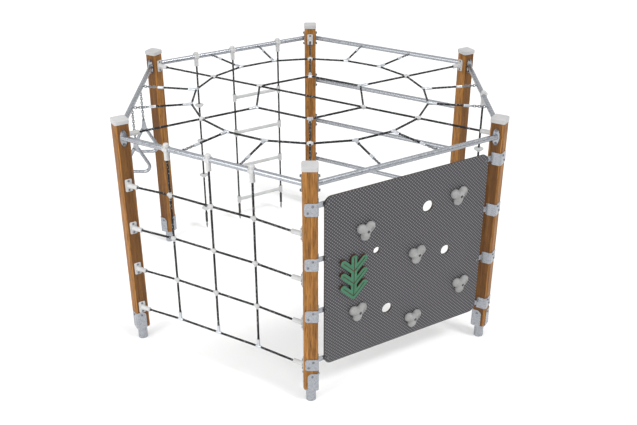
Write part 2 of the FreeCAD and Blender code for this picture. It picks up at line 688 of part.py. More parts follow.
def panel_bracket(mirror):
    """Bent plate round the front post's corner, with a tab behind the panel. Its middle is at z = 0."""
    outer = HALF_POST + PANEL_BRACKET_PLATE
    half = PANEL_BRACKET_HEIGHT / 2
    back = SIDE_LINE + PANEL_FACE_OFFSET - PANEL_PLATE
    tab_back = back - PANEL_BRACKET_PLATE
    shell = post_prism(POST_WIDTH + 2 * PANEL_BRACKET_PLATE, -half, half)
    shell = shell.cut(post_prism(POST_WIDTH, -half, half))
    shell = turned(shell, -30)
    flank = box(tab_back, SIDE_LINE + 2 * POST_WIDTH, -POST_CIRCLE / 2, 0, -half, half)
    edge_y = PANEL_BRACKET_MARGIN - HALF_POST
    front = box(POST_CIRCLE + HALF_POST, POST_CIRCLE + outer, edge_y, outer, -half, half)
    wrap = merged([shell.common(flank), shell.common(turned(front, -30))])
    outward_of = -POST_CIRCLE / 2 - HALF_POST / 2
    free = [edge for edge in wrap.Edges if edge.Length < PANEL_BRACKET_PLATE * 1.01
            and abs(abs(edge.CenterOfMass.z) - half) < 0.1 and edge.CenterOfMass.y < outward_of]
    wrap = wrap.makeFillet(PANEL_BRACKET_CORNER, free)
    tab_half = PANEL_TAB_HEIGHT / 2
    tab = box(tab_back, back, -POST_CIRCLE / 2, -PANEL_WIDTH / 2 + PANEL_TAB_LAP, -tab_half, tab_half)
    tab = tab.cut(turned(post_prism(POST_WIDTH, -half, half), -30))
    bracket = merged([wrap, max(tab.Solids, key=lambda solid: solid.CenterOfMass.y)])
    return bracket.mirror(vec(0, 0, 0), vec(0, 1, 0)) if mirror else bracket


def bracket_row(mirror):
    bracket = turned(panel_bracket(mirror), side_angle("front_right"))
    return [moved(bracket, 0, 0, PANEL_MIDDLE_Z + up) for up in bracket_heights()]


def panel_tab_bolts():
    """Domed bolts from the panel's outer face through the tabs behind it."""
    along = PANEL_WIDTH / 2 - PANEL_TAB_BOLT_INSET
    bolt = screw_shape(PANEL_PLATE + PANEL_BRACKET_PLATE)
    return [on_panel(bolt, end, up) for end in (-along, along) for up in bracket_heights()]


def panel_post_bolts():
    """Two screws through each bracket's outer plate into the post, on a diagonal."""
    bolts = []
    for post, hand in (("front", 1), ("front_right", -1)):
        for up in bracket_heights():
            for step in (-1, 1):
                across, z = hand * step * PANEL_SCREW_ACROSS, PANEL_MIDDLE_Z + up + step * PANEL_SCREW_RISE
                bolts.append(on_post(screw_shape(SCREW_DEPTH), post, 0, across, z, PANEL_BRACKET_PLATE))
    return bolts


def hold_shape():
    """Three-lobed hold on X = 0 with rounded lobes and a counterbored bolt hole."""
    reach = (HOLD_DIAMETER - HOLD_LOBE_DIAMETER) / 2
    centres = [polar(reach, HOLD_TURN + 120 * k, 0) for k in range(3)]
    places = [vec(0, point.x, point.y) for point in centres] + [vec(0, 0, 0)]
    lobes = []
    for place in places:
        lobe = rod(place, place + vec(HOLD_DEPTH, 0, 0), HOLD_LOBE_DIAMETER)
        rim = [edge for edge in lobe.Edges if edge.BoundBox.XMin > HOLD_DEPTH - 0.1]
        lobes.append(lobe.makeFillet(HOLD_EDGE, rim))
    return merged(lobes)


def hold_seat():
    return HOLD_DEPTH - HOLD_BOLT_SINK - WASHER - BOLT_HEAD


def hold_bolt():
    """Hexagon bolt whose head sits in a hold's recess."""
    return moved(bolt_shape(hold_seat() + PANEL_PLATE), hold_seat(), 0, 0)


def hold_bore():
    seat = vec(hold_seat(), 0, 0)
    recess = rod(seat, vec(HOLD_DEPTH, 0, 0), WASHER_DIAMETER + 2 * HOLD_BOLT_ROOM)
    return merged([rod(vec(0, 0, 0), seat, BOLT_DIAMETER), recess])


def stroke(start, end, width, x0, x1):
    """Round-ended bar between two points of the YZ plane, from x0 to x1."""
    length = (end - start).Length
    middle = box(x0, x1, 0, length, -width / 2, width / 2)
    angle = math.degrees(math.atan2(end.z - start.z, end.y - start.y))
    middle.rotate(vec(0, 0, 0), vec(1, 0, 0), angle)
    ends = [rod(point + vec(x0, 0, 0), point + vec(x1, 0, 0), width) for point in (start, end)]
    return merged([moved(middle, start.x, start.y, start.z)] + ends)


def leaf_veins():
    """Start and end of the leaf's middle vein and its six side veins, from the leaf's tip."""
    lobe = LEAF_LOBE_DIAMETER / 2
    veins = [(vec(0, 0, LEAF_FIRST_VEIN), vec(0, 0, LEAF_LENGTH - lobe))]
    for k in range(3):
        root = LEAF_FIRST_VEIN + LEAF_VEIN_PITCH * k
        for hand in (-1, 1):
            veins.append((vec(0, 0, root), vec(0, hand * LEAF_VEIN_SPREAD, root + LEAF_VEIN_RISE)))
    return veins


def leaf_shape():
    """Lobed leaf plate on X = 0, pointing down, with its veins engraved in the outer face."""
    veins = leaf_veins()
    lobes = [stroke(start, end, LEAF_LOBE_DIAMETER, 0, LEAF_PLATE) for start, end in veins[1:]]
    half = LEAF_STEM_WIDTH / 2
    corners = [vec(0, half, LEAF_SHOULDER), vec(0, -half, LEAF_SHOULDER)]
    tip = Part.makePolygon([vec(0, 0, 0)] + corners + [vec(0, 0, 0)])
    tip = Part.Face(tip).extrude(vec(LEAF_PLATE, 0, 0))
    crown = stroke(vec(0, 0, LEAF_SHOULDER), veins[0][1], LEAF_LOBE_DIAMETER, 0, LEAF_PLATE)
    grooves = [stroke(start, end, VEIN_WIDTH, LEAF_PLATE - VEIN_DEPTH, LEAF_PLATE) for start, end in veins]
    return merged(lobes + [tip, crown]).cut(grooves)


# Rope ladder and disc ropes

def make_end(side, along):
    """A rope's end: a sleeve with a short chain hanging from it."""
    top = side_point(side, BAR_LINE, along, END_SLEEVE_TOP)
    bottom = top - UP * END_SLEEVE
    across = polar(1, side_angle(side), 0)
    first = bottom - UP * (LINK_REACH - WIRE_GRIP)
    links = chain(first, UP * -1, across, END_LINKS)
    sleeve = rod(bottom, top, END_SLEEVE_DIAMETER)
    rims = [edge for edge in sleeve.Edges if edge.BoundBox.ZLength < 0.1]
    return [sleeve.makeChamfer((END_SLEEVE_DIAMETER - ROPE_DIAMETER) / 2 - 1, rims).cut(links[0])] + links


def hanging_rope(side, along):
    return rod(side_point(side, BAR_LINE, along, rope_top()),
               side_point(side, BAR_LINE, along, END_SLEEVE_TOP), ROPE_DIAMETER)


def step_heights():
    return [TOP_STEP_Z - STEP_PITCH * k for k in range(STEPS)]


def make_ladder():
    side = "back_left"
    places = [LADDER_MIDDLE - LADDER_WIDTH / 2, LADDER_MIDDLE + LADDER_WIDTH / 2]
    rungs = []
    for z in step_heights():
        left, right = [side_point(side, BAR_LINE, along, z) for along in places]
        for middle in (left, right):
            up = UP * (RUNG_SLEEVE / 2)
            sleeve = rod(middle - up, middle + up, RUNG_SLEEVE_DIAMETER)
            rungs.append(sleeve.cut(rod(middle - up, middle + up, ROPE_DIAMETER)))
        rung = rod(left, right, RUNG_DIAMETER)
        rungs.append(rung.cut([rod(p - UP * RUNG_SLEEVE, p + UP * RUNG_SLEEVE, RUNG_SLEEVE_DIAMETER)
                               for p in (left, right)]))
    save("ladder_bar_clamps", [make_clamp(side, along) for along in places])
    save("ladder_ropes", [hanging_rope(side, along) for along in places])
    save("ladder_rungs", rungs)
    save("ladder_rope_ends", make_end(side, places[0]) + make_end(side, places[1]))


def disc_shape():
    """Round foot disc on the Z axis: a rounded rim, a low hub on top and a tapered underside."""
    bore, hub, rim = ROPE_DIAMETER / 2, DISC_HUB_DIAMETER / 2, DISC_DIAMETER / 2
    half = DISC_RIM / 2
    edges = [Part.makePolygon([vec(bore, 0, DISC_TOP), vec(hub, 0, DISC_TOP), vec(rim - half, 0, half)]),
             Part.Arc(vec(rim - half, 0, half), vec(rim, 0, 0), vec(rim - half, 0, -half)).toShape(),
             Part.makePolygon([vec(rim - half, 0, -half), vec(hub, 0, -DISC_TAPER), vec(bore, 0, -DISC_TAPER),
                               vec(bore, 0, DISC_TOP)])]
    outline = Part.Wire([edge for part in edges for edge in part.Edges])
    return Part.Face(outline).revolve(vec(0, 0, 0), UP, 360)


def make_disc_rope(name, side, along):
    discs = []
    for z in step_heights():
        place = side_point(side, BAR_LINE, along, z)
        discs.append(moved(disc_shape(), place.x, place.y, place.z))
    save(name + "_clamp", [make_clamp(side, along)])
    save(name + "_rope", [hanging_rope(side, along)])
    save(name + "_discs", discs)
    save(name + "_end", make_end(side, along))


# Trapezes on the left side

def bent_path(points, radius):
    """Straight runs between points, joined by tangent arcs of one radius."""
    edges = []
    start = points[0]
    for before, here, after in zip(points, points[1:], points[2:]):
        back, on = toward(here, before), toward(here, after)
        half = back.getAngle(on) / 2
        reach = radius / math.tan(half)
        middle = here + (back + on).normalize() * (radius / math.sin(half) - radius)
        edges.append(Part.makeLine(start, here + back * reach))
        edges.append(Part.Arc(here + back * reach, middle, here + on * reach).toShape())
        start = here + on * reach
    edges.append(Part.makeLine(start, points[-1]))
    return Part.Wire(edges)


def triangle_shape():
    """Bent tube triangle in the XZ plane, hung by a gusset whose pin hole is at the origin."""
    radius = TRAPEZE_TUBE / 2
    foot = TRAPEZE_WIDTH / 2 - radius
    apex = -(GUSSET_HEIGHT - radius)
    floor = apex - TRAPEZE_HEIGHT
    lean = math.atan2(foot, TRAPEZE_HEIGHT)
    spread = radius / math.cos(lean) + LEG_GAP / 2
    top = apex - spread / math.tan(lean)
    route = bent_path([vec(-spread, 0, top), vec(-foot - radius, 0, floor), vec(foot + radius, 0, floor),
                       vec(spread, 0, top)], TRAPEZE_CORNER)
    start = toward(vec(-spread, 0, top), vec(-foot - radius, 0, floor))
    profile = Part.Wire(Part.makeCircle(radius, vec(-spread, 0, top), start))
    tube = route.makePipeShell([profile], True, True)
    ear = GUSSET_HOLE / 2 + GUSSET_PLATE
    low = top - GUSSET_LAP
    foot = spread + ear
    corners = [vec(-ear, 0, 0), vec(ear, 0, 0), vec(foot, 0, low), vec(-foot, 0, low)]
    web = Part.makePolygon(corners + corners[:1])
    web = moved(Part.Face(web).extrude(vec(0, GUSSET_PLATE, 0)), 0, -GUSSET_PLATE / 2, 0)
    lug = rod(vec(0, -GUSSET_PLATE / 2, 0), vec(0, GUSSET_PLATE / 2, 0), 2 * ear)
    hole = rod(vec(0, -GUSSET_PLATE, 0), vec(0, GUSSET_PLATE, 0), GUSSET_HOLE)
    return merged([tube, web, lug]).cut(hole)


def shackle_shape():
    """Bow in the YZ plane with its top wire at the origin, closed by a pin below it."""
    radius = (SHACKLE_INNER_WIDTH + SHACKLE_WIRE) / 2
    pin_z = -(SHACKLE_INNER_LENGTH + SHACKLE_WIRE / 2)
    bow = Part.makeTorus(radius, SHACKLE_WIRE / 2, vec(0, 0, 0), UP, -180, 180, 180)
    bow = placed(bow, vec(0, 0, -radius), vec(0, 1, 0), vec(0, 0, 1))
    ears = radius + SHACKLE_WIRE
    legs = [rod(vec(0, y, -radius), vec(0, y, pin_z), SHACKLE_WIRE) for y in (-radius, radius)]
    bosses = [rod(vec(0, y - SHACKLE_WIRE / 2, pin_z), vec(0, y + SHACKLE_WIRE / 2, pin_z), 2 * PIN_DIAMETER)
              for y in (-radius, radius)]
    pin = rod(vec(0, -ears, pin_z), vec(0, ears, pin_z), PIN_DIAMETER)
    return merged([bow, pin] + legs + bosses)


def trapeze_axes():
    """Heights of a trapeze's three pivots: the eye, the middle of the chain and the shackle's pin."""
    eye = TOP_BAR_Z - BAR_RADIUS - eye_far_wire()
    first = eye - first_link()
    last_upper = first - LINK_PITCH * (TRAPEZE_UPPER_LINKS - 1)
    middle = last_upper - (CHAIN_INNER_LENGTH + CHAIN_WIRE) / 2
    last = last_upper - LINK_PITCH * TRAPEZE_LOWER_LINKS
    bow = last - CHAIN_INNER_LENGTH / 2 + SHACKLE_WIRE / 2 + CHAIN_GAP
    pin = bow - SHACKLE_INNER_LENGTH - SHACKLE_WIRE / 2
    return eye, first, middle, bow, pin


def make_trapeze(name, along, eyes):
    side = "left"
    eye, first, middle, bow, pin = trapeze_axes()
    outward = polar(1, side_angle(side), 0)
    down = UP * -1
    seat = side_point(side, BAR_LINE, along, TOP_BAR_Z - BAR_RADIUS)
    eyes.append(placed(eye_shape(), seat, down, outward).cut(bar_core(side)))
    links = chain(side_point(side, BAR_LINE, along, first), down, outward,
                  TRAPEZE_UPPER_LINKS + TRAPEZE_LOWER_LINKS)
    line = polar(1, side_angle(side) + 90, 0)
    shackle = placed(shackle_shape(), side_point(side, BAR_LINE, along, bow), outward, line)
    triangle = placed(triangle_shape(), side_point(side, BAR_LINE, along, pin), outward, line)
    save(name + "_upper_chain", links[:TRAPEZE_UPPER_LINKS])
    save(name + "_lower_chain", links[TRAPEZE_UPPER_LINKS:] + [shackle])
    save(name + "_triangle", [triangle])
    print(name, "pivots", [round(z, 2) for z in (eye, middle, pin)], "at", side_point(side, BAR_LINE, along, 0))


# The whole frame

def bar_list():
    """Name, side, ends and height of every bar."""
    bars = [("top_bar_" + side, side, start, end, TOP_BAR_Z) for side, start, end in SIDES]
    side, start, end = next(row for row in SIDES if row[0] == "back_right")
    for k, name in enumerate(("high", "middle", "low")):
        bars.append(("climb_bar_" + name, side, start, end, TOP_BAR_Z - CLIMB_BAR_PITCH * (k + 1)))
    return bars


def main():
    os.makedirs("parts", exist_ok=True)
    bars = bar_list()
    bar_bolts = [bolt for name, side, start, end, z in bars for bolt in flange_bolts(side, start, end, z)]
    screws = [screw for post in POST_ANGLES for screw in foot_screws(post)]
    screws += [screw for post in POST_ANGLES for screw in bracket_screws(post, 180, TOP_BAR_Z)]
    side_brackets = side_net_bracket_places()
    screws += [screw for post, face, z, lean in side_brackets for screw in bracket_screws(post, face, z)]
    post_side_bolts = panel_post_bolts()
    tab_bolts = panel_tab_bolts()
    hold_bolts = [on_panel(hold_bolt(), along, up) for along, up in HOLDS]
    in_posts = bar_bolts + screws + post_side_bolts
    for post in POST_ANGLES:
        save("post_" + post, [make_post(post, in_posts)])
    save("post_caps", [make_cap(post) for post in POST_ANGLES])
    save("post_feet", [piece for post in POST_ANGLES for piece in make_foot(post, screws)])
    save("post_screws", screws)
    for name, side, start, end, z in bars:
        save(name, make_bar(side, start, end, z, bar_bolts))
    save("bar_bolts", bar_bolts)
    make_overhead_net()
    save("net_post_brackets", [drilled(on_post(bracket_shape(0), post, 180, 0, TOP_BAR_Z, 0), screws)
                               for post in POST_ANGLES])
    eyes = []
    make_ties(eyes)
    make_side_net()
    save("side_net_post_brackets", [drilled(on_post(bracket_shape(lean), post, face, 0, z, 0), screws)
                                    for post, face, z, lean in side_brackets])
    save("climbing_panel", [make_panel(tab_bolts + hold_bolts)])
    brackets = [on_bracket for mirror in (False, True) for on_bracket in bracket_row(mirror)]
    save("panel_brackets", [drilled(bracket, tab_bolts + post_side_bolts) for bracket in brackets])
    save("panel_bolts", tab_bolts + post_side_bolts)
    save("climbing_holds", [on_panel(hold_shape().cut(hold_bore()), along, up) for along, up in HOLDS])
    save("hold_bolts", hold_bolts)
    save("leaf_plate", [on_panel(leaf_shape(), LEAF_AT[0], LEAF_AT[1])])
    make_ladder()
    make_disc_rope("disc_rope_left", "back_left", LEFT_DISC_ROPE)
    make_disc_rope("disc_rope_right", "right", RIGHT_DISC_ROPE)
    make_trapeze("trapeze_back", -TRAPEZE_SPREAD / 2, eyes)
    make_trapeze("trapeze_front", TRAPEZE_SPREAD / 2, eyes)
    save("bar_eyes", eyes)


main()
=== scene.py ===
# %% [markdown]
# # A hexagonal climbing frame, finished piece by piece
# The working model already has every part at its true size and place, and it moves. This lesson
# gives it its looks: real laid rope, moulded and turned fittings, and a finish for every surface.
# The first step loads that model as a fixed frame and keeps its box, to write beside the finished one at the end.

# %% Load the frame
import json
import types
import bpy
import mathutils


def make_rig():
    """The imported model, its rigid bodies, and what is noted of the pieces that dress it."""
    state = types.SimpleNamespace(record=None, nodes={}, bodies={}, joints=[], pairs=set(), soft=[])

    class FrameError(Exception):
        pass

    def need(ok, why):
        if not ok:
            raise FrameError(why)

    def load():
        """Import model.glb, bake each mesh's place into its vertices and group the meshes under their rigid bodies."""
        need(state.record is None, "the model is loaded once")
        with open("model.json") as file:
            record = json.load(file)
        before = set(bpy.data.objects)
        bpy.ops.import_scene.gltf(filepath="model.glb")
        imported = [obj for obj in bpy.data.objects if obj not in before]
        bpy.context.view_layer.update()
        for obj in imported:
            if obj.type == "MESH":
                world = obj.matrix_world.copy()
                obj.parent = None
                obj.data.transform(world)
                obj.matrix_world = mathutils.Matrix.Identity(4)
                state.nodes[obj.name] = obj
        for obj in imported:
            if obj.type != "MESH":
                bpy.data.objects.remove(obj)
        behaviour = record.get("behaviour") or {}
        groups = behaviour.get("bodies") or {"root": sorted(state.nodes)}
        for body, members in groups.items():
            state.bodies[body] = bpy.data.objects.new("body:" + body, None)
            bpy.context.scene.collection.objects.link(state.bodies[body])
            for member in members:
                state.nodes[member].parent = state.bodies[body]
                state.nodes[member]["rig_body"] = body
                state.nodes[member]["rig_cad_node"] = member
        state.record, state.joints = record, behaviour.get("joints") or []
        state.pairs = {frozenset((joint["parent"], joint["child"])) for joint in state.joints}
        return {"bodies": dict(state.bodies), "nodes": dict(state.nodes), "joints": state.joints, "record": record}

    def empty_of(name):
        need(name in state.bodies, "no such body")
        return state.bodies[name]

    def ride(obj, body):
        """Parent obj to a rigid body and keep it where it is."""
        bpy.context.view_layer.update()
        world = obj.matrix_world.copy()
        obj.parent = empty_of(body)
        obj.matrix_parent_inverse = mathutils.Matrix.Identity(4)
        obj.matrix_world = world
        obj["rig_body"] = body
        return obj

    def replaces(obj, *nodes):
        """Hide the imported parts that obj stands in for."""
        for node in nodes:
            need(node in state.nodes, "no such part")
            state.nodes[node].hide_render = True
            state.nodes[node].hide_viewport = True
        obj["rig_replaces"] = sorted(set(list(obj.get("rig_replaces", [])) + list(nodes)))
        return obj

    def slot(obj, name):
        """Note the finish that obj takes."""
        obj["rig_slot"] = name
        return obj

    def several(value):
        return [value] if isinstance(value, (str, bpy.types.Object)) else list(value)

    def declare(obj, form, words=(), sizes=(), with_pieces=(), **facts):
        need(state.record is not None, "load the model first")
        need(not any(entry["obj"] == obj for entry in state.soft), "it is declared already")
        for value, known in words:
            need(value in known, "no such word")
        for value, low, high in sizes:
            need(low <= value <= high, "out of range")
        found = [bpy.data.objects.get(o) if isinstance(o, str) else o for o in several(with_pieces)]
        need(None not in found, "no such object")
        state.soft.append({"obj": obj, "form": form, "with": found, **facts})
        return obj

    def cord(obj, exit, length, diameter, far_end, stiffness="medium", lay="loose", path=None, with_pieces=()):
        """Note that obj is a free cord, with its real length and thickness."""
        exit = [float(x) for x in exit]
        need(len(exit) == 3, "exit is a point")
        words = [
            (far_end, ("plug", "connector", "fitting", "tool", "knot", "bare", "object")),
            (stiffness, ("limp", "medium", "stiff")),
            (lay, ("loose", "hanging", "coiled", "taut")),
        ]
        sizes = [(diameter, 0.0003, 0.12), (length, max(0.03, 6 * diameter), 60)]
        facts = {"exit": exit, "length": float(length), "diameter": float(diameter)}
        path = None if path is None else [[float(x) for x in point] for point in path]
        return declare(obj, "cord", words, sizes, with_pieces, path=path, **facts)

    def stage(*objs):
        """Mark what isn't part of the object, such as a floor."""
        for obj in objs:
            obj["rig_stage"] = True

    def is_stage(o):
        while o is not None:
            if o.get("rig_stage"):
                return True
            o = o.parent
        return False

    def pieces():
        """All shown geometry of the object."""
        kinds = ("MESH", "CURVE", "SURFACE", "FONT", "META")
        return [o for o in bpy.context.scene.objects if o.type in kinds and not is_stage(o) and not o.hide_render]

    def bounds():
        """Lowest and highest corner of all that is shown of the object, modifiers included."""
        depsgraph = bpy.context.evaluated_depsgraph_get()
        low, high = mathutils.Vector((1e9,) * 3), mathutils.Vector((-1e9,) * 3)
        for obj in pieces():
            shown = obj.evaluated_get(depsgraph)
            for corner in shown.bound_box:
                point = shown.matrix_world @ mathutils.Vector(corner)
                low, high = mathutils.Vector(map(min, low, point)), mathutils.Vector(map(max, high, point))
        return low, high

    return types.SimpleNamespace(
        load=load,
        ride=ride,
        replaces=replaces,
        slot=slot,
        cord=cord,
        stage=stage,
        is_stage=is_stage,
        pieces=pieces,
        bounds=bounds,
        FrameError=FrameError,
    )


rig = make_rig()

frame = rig.load()
import json
import math
import bpy
import bmesh
from mathutils import Matrix, Vector
cad_box = [list(corner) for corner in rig.bounds()]
print("frame:", len(frame["nodes"]), "nodes,", len(frame["joints"]), "joints, box", cad_box)

# %% [markdown]
# ## Camera
# The frame is seen from outside its front post, from a little over head height, with a normal lens
# at a fair distance, so that the hexagon keeps its depth but the posts still look upright.
# The camera comes first, because the free ropes are measured against what it sees.

# %% Camera
bpy.ops.object.select_all(action="DESELECT")
bpy.ops.object.camera_add(location=(0.0116, -6.429, 4.096),
                          rotation=(math.radians(61.99), 0, -0.0082))
camera = bpy.context.object
camera.name = "camera"
camera.data.lens = 50.49
camera.data.sensor_width = 36
bpy.context.scene.camera = camera
print("camera at", [round(x, 3) for x in camera.location], "lens", round(camera.data.lens, 1))

# %% [markdown]
# ## Where things are
# The six posts stand on a circle with a radius of 1.5 m, and each side is named for where it faces.
# A point on a side is given outward from the middle, along the side, and up, as a fitter measures.

# %% Places
POST_CIRCLE = 1.5
HALF_POST = 0.05
BAR_LINE = POST_CIRCLE * math.cos(math.radians(30)) + HALF_POST / 2
BAR_HALF = POST_CIRCLE / 2 - HALF_POST * math.cos(math.radians(30))
BAR_RADIUS = 0.019
TOP_BAR_Z = 1.680
POSTS = {"front_left": 210, "front": 270, "front_right": 330,
         "back_right": 30, "back": 90, "back_left": 150}
SIDES = {"front_left": 240, "front_right": 300, "right": 0,
         "back_right": 60, "back_left": 120, "left": 180}
UP = Vector((0, 0, 1))


def polar(radius, degrees, z=0.0):
    angle = math.radians(degrees)
    return Vector((radius * math.cos(angle), radius * math.sin(angle), z))


def side_point(side, along, z, outward=BAR_LINE):
    angle = math.radians(SIDES[side])
    return Vector((outward * math.cos(angle) - along * math.sin(angle),
                   outward * math.sin(angle) + along * math.cos(angle), z))


def facing(at, out, up=UP):
    """The matrix that takes a piece made at the origin to a point, with its X axis along out."""
    x = Vector(out).normalized()
    y = Vector(up).cross(x).normalized()
    return Matrix.Translation(at) @ Matrix((x, y, x.cross(y))).transposed().to_4x4()


def standing(at, axis):
    """The matrix that takes a piece turned about Z to a point, with its Z axis along axis."""
    return Matrix.Translation(at) @ Vector(axis).to_track_quat("Z", "Y").to_matrix().to_4x4()


print("bars are", round(BAR_LINE, 4), "m from the middle, and", round(2 * BAR_HALF, 4), "m long")

# %% [markdown]
# ## A few habits
# An operator acts on everything that is selected, so each step first clears the selection.
# A modifier is added, set and applied in one go, which leaves plain mesh behind. A finished piece
# has its place in its own mesh and its object at the origin, so patterns don't slide when it moves.

# %% Selecting, modifying and placing
def only(piece):
    if bpy.context.object and bpy.context.object.mode != "OBJECT":
        bpy.ops.object.mode_set(mode="OBJECT")
    bpy.ops.object.select_all(action="DESELECT")
    piece.select_set(True)
    bpy.context.view_layer.objects.active = piece
    return piece


def added(name):
    piece = bpy.context.object
    piece.name = name
    return piece


def clear():
    if bpy.context.object and bpy.context.object.mode != "OBJECT":
        bpy.ops.object.mode_set(mode="OBJECT")
    bpy.ops.object.select_all(action="DESELECT")


def modify(piece, kind, **settings):
    only(piece)
    tool = piece.modifiers.new(kind.lower(), kind)
    for key, value in settings.items():
        setattr(tool, key, value)
    bpy.ops.object.modifier_apply(modifier=tool.name)
    return piece


def settle(piece, matrix=None):
    """Puts a piece's place, turn and size into its mesh."""
    if matrix is not None:
        piece.matrix_world = matrix @ piece.matrix_world
    only(piece)
    bpy.ops.object.transform_apply(location=True, rotation=True, scale=True)
    return piece


def joined(name, pieces):
    clear()
    for piece in pieces:
        piece.select_set(True)
    bpy.context.view_layer.objects.active = pieces[0]
    if len(pieces) > 1:
        bpy.ops.object.join()
    return added(name)


def set_out(name, master, matrices):
    """Copies of one master, each with its own mesh, joined as one piece. The master goes."""
    copies = []
    for matrix in matrices:
        only(master)
        bpy.ops.object.duplicate()
        copies.append(settle(bpy.context.object, matrix))
    bpy.data.objects.remove(master)
    return joined(name, copies)


def choose(piece, mode, rule):
    """Selects the faces, edges or vertices of a piece that a rule picks, and stays in edit mode."""
    only(piece)
    bpy.ops.object.mode_set(mode="EDIT")
    bpy.ops.mesh.select_mode(type=mode)
    bpy.ops.mesh.select_all(action="DESELECT")
    mesh = bmesh.from_edit_mesh(piece.data)
    parts = {"FACE": mesh.faces, "EDGE": mesh.edges, "VERT": mesh.verts}[mode]
    for part in parts:
        part.select_set(bool(rule(part)))
    mesh.select_flush_mode()
    bmesh.update_edit_mesh(piece.data)


def smooth(piece, degrees=35):
    only(piece)
    bpy.ops.object.shade_smooth_by_angle(angle=math.radians(degrees))
    return piece


def triangles(piece):
    return sum(len(face.vertices) - 2 for face in piece.data.polygons)


def fitted(piece, body, nodes, slot, material):
    """Finishes a piece: its material, the body it moves with and the plain parts it stands for."""
    piece.data.materials.clear()
    piece.data.materials.append(material)
    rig.ride(piece, body)
    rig.replaces(piece, *nodes)
    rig.slot(piece, slot)
    print(piece.name, "rides on", body, "with", triangles(piece), "triangles")
    return piece


print("tools ready")

# %% [markdown]
# ## How a finish is put together
# Each finish is a small tree of nodes: coordinates, patterns, a colour ramp and a bump. The
# patterns read Object coordinates in metres, so a grain that is 2 mm wide on the real thing is
# 2 mm wide here. These helpers add a node, a ramp, a mix and a bump in one line each.

# %% Helpers for finishes
def add(tree, kind, inputs=None, **settings):
    made = tree.nodes.new("ShaderNode" + kind)
    for key, value in settings.items():
        setattr(made, key, value)
    for key, value in (inputs or {}).items():
        socket = made.inputs[key]
        if isinstance(value, bpy.types.NodeSocket):
            tree.links.new(value, socket)
        else:
            socket.default_value = value
    return made


def finish_named(name, metallic=0.0, roughness=0.5, **shader_values):
    made = bpy.data.materials.new(name)
    made.use_nodes = True
    shader = made.node_tree.nodes["Principled BSDF"]
    shader.inputs["Metallic"].default_value = metallic
    shader.inputs["Roughness"].default_value = roughness
    for key, value in shader_values.items():
        shader.inputs[key.replace("_", " ")].default_value = value
    return made, made.node_tree, shader


def place_on(tree, location=(0, 0, 0), turn=(0, 0, 0), scale=(1, 1, 1)):
    """Object coordinates, turned and moved to a piece's own axes, then stretched."""
    source = add(tree, "TexCoord").outputs["Object"]
    turned = add(tree, "Mapping", {"Vector": source, "Location": location, "Rotation": turn})
    return add(tree, "Mapping", {"Vector": turned.outputs[0], "Scale": scale}).outputs[0]


def noise(tree, at, scale, detail=4.0, rough=0.55, distortion=0.0):
    return add(tree, "TexNoise", {"Vector": at, "Scale": scale, "Detail": detail,
                                  "Roughness": rough, "Distortion": distortion}).outputs["Fac"]


def cells(tree, at, scale, feature="F1", output="Distance", jitter=1.0):
    return add(tree, "TexVoronoi", {"Vector": at, "Scale": scale, "Randomness": jitter},
               feature=feature).outputs[output]


def ramp(tree, factor, *stops):
    """A colour ramp. A stop is a position and a colour or a grey value."""
    made = add(tree, "ValToRGB", {"Fac": factor})
    band = made.color_ramp
    while len(band.elements) < len(stops):
        band.elements.new(0.5)
    for element, (position, colour) in zip(band.elements, stops):
        element.position = position
        element.color = (colour, colour, colour, 1) if isinstance(colour, (int, float)) else (*colour, 1)
    return made.outputs["Color"]


def mix(tree, factor, first, second, way="MIX"):
    made = add(tree, "Mix", data_type="RGBA", blend_type=way)
    for index, value in ((0, factor), (6, first), (7, second)):
        if isinstance(value, bpy.types.NodeSocket):
            tree.links.new(value, made.inputs[index])
        elif index == 0:
            made.inputs[0].default_value = value
        else:
            made.inputs[index].default_value = (*value, 1)
    return made.outputs[2]


def maths(tree, operation, first, second=0.0, third=0.0):
    return add(tree, "Math", {0: first, 1: second, 2: third}, operation=operation).outputs[0]


def raised(tree, shader, height, distance, strength=1.0):
    """Bump of a true depth in metres, where the height goes from 0 to 1."""
    bump = add(tree, "Bump", {"Height": height, "Distance": distance, "Strength": strength})
    tree.links.new(bump.outputs[0], shader.inputs["Normal"])


def wire(tree, value, shader, name):
    tree.links.new(value, shader.inputs[name])


def dress(names, material):
    for name in names:
        mesh = frame["nodes"][name].data
        mesh.materials.clear()
        mesh.materials.append(material)
    print(material.name, "on", ", ".join(names))


print("finish helpers ready")

# %% [markdown]
# ## Rope finish
# The rope is polyester braided over steel cores, near black. The six strands are real mesh, so the
# finish only adds the braid: small stretched cells for the yarn picks, whose paler centres are partly
# painted glints, a little grey dust, and sparse pale flecks that are painted highlights on the strands.

# %% Rope finish
rope_finish, tree, shader = finish_named("black_braided_polyester", roughness=0.62, Specular_IOR_Level=0.2)
at = place_on(tree)
picks = cells(tree, at, 420)
dust = noise(tree, at, 35, 5)
# the picks' paler centres are braid texture and partly painted glints
yarn_and_painted_glints = ramp(tree, picks, (0.0, (0.050, 0.052, 0.056)), (0.35, (0.016, 0.017, 0.019)),
            (0.8, (0.005, 0.005, 0.006)))
yarn_and_painted_glints = mix(tree, maths(tree, "MULTIPLY", dust, 0.15), yarn_and_painted_glints, (0.07, 0.07, 0.075))
# painted highlights: sparse pale flecks where the strands would catch the light
painted_highlight_flecks = ramp(tree, cells(tree, at, 70), (0.18, 1.0), (0.30, 0.0))
wire(tree, mix(tree, painted_highlight_flecks, yarn_and_painted_glints, (0.36, 0.37, 0.38)), shader, "Base Color")
raised(tree, shader, maths(tree, "SUBTRACT", 1.0, picks), 0.0006, 0.8)
print("rope finish:", len(tree.nodes), "nodes")

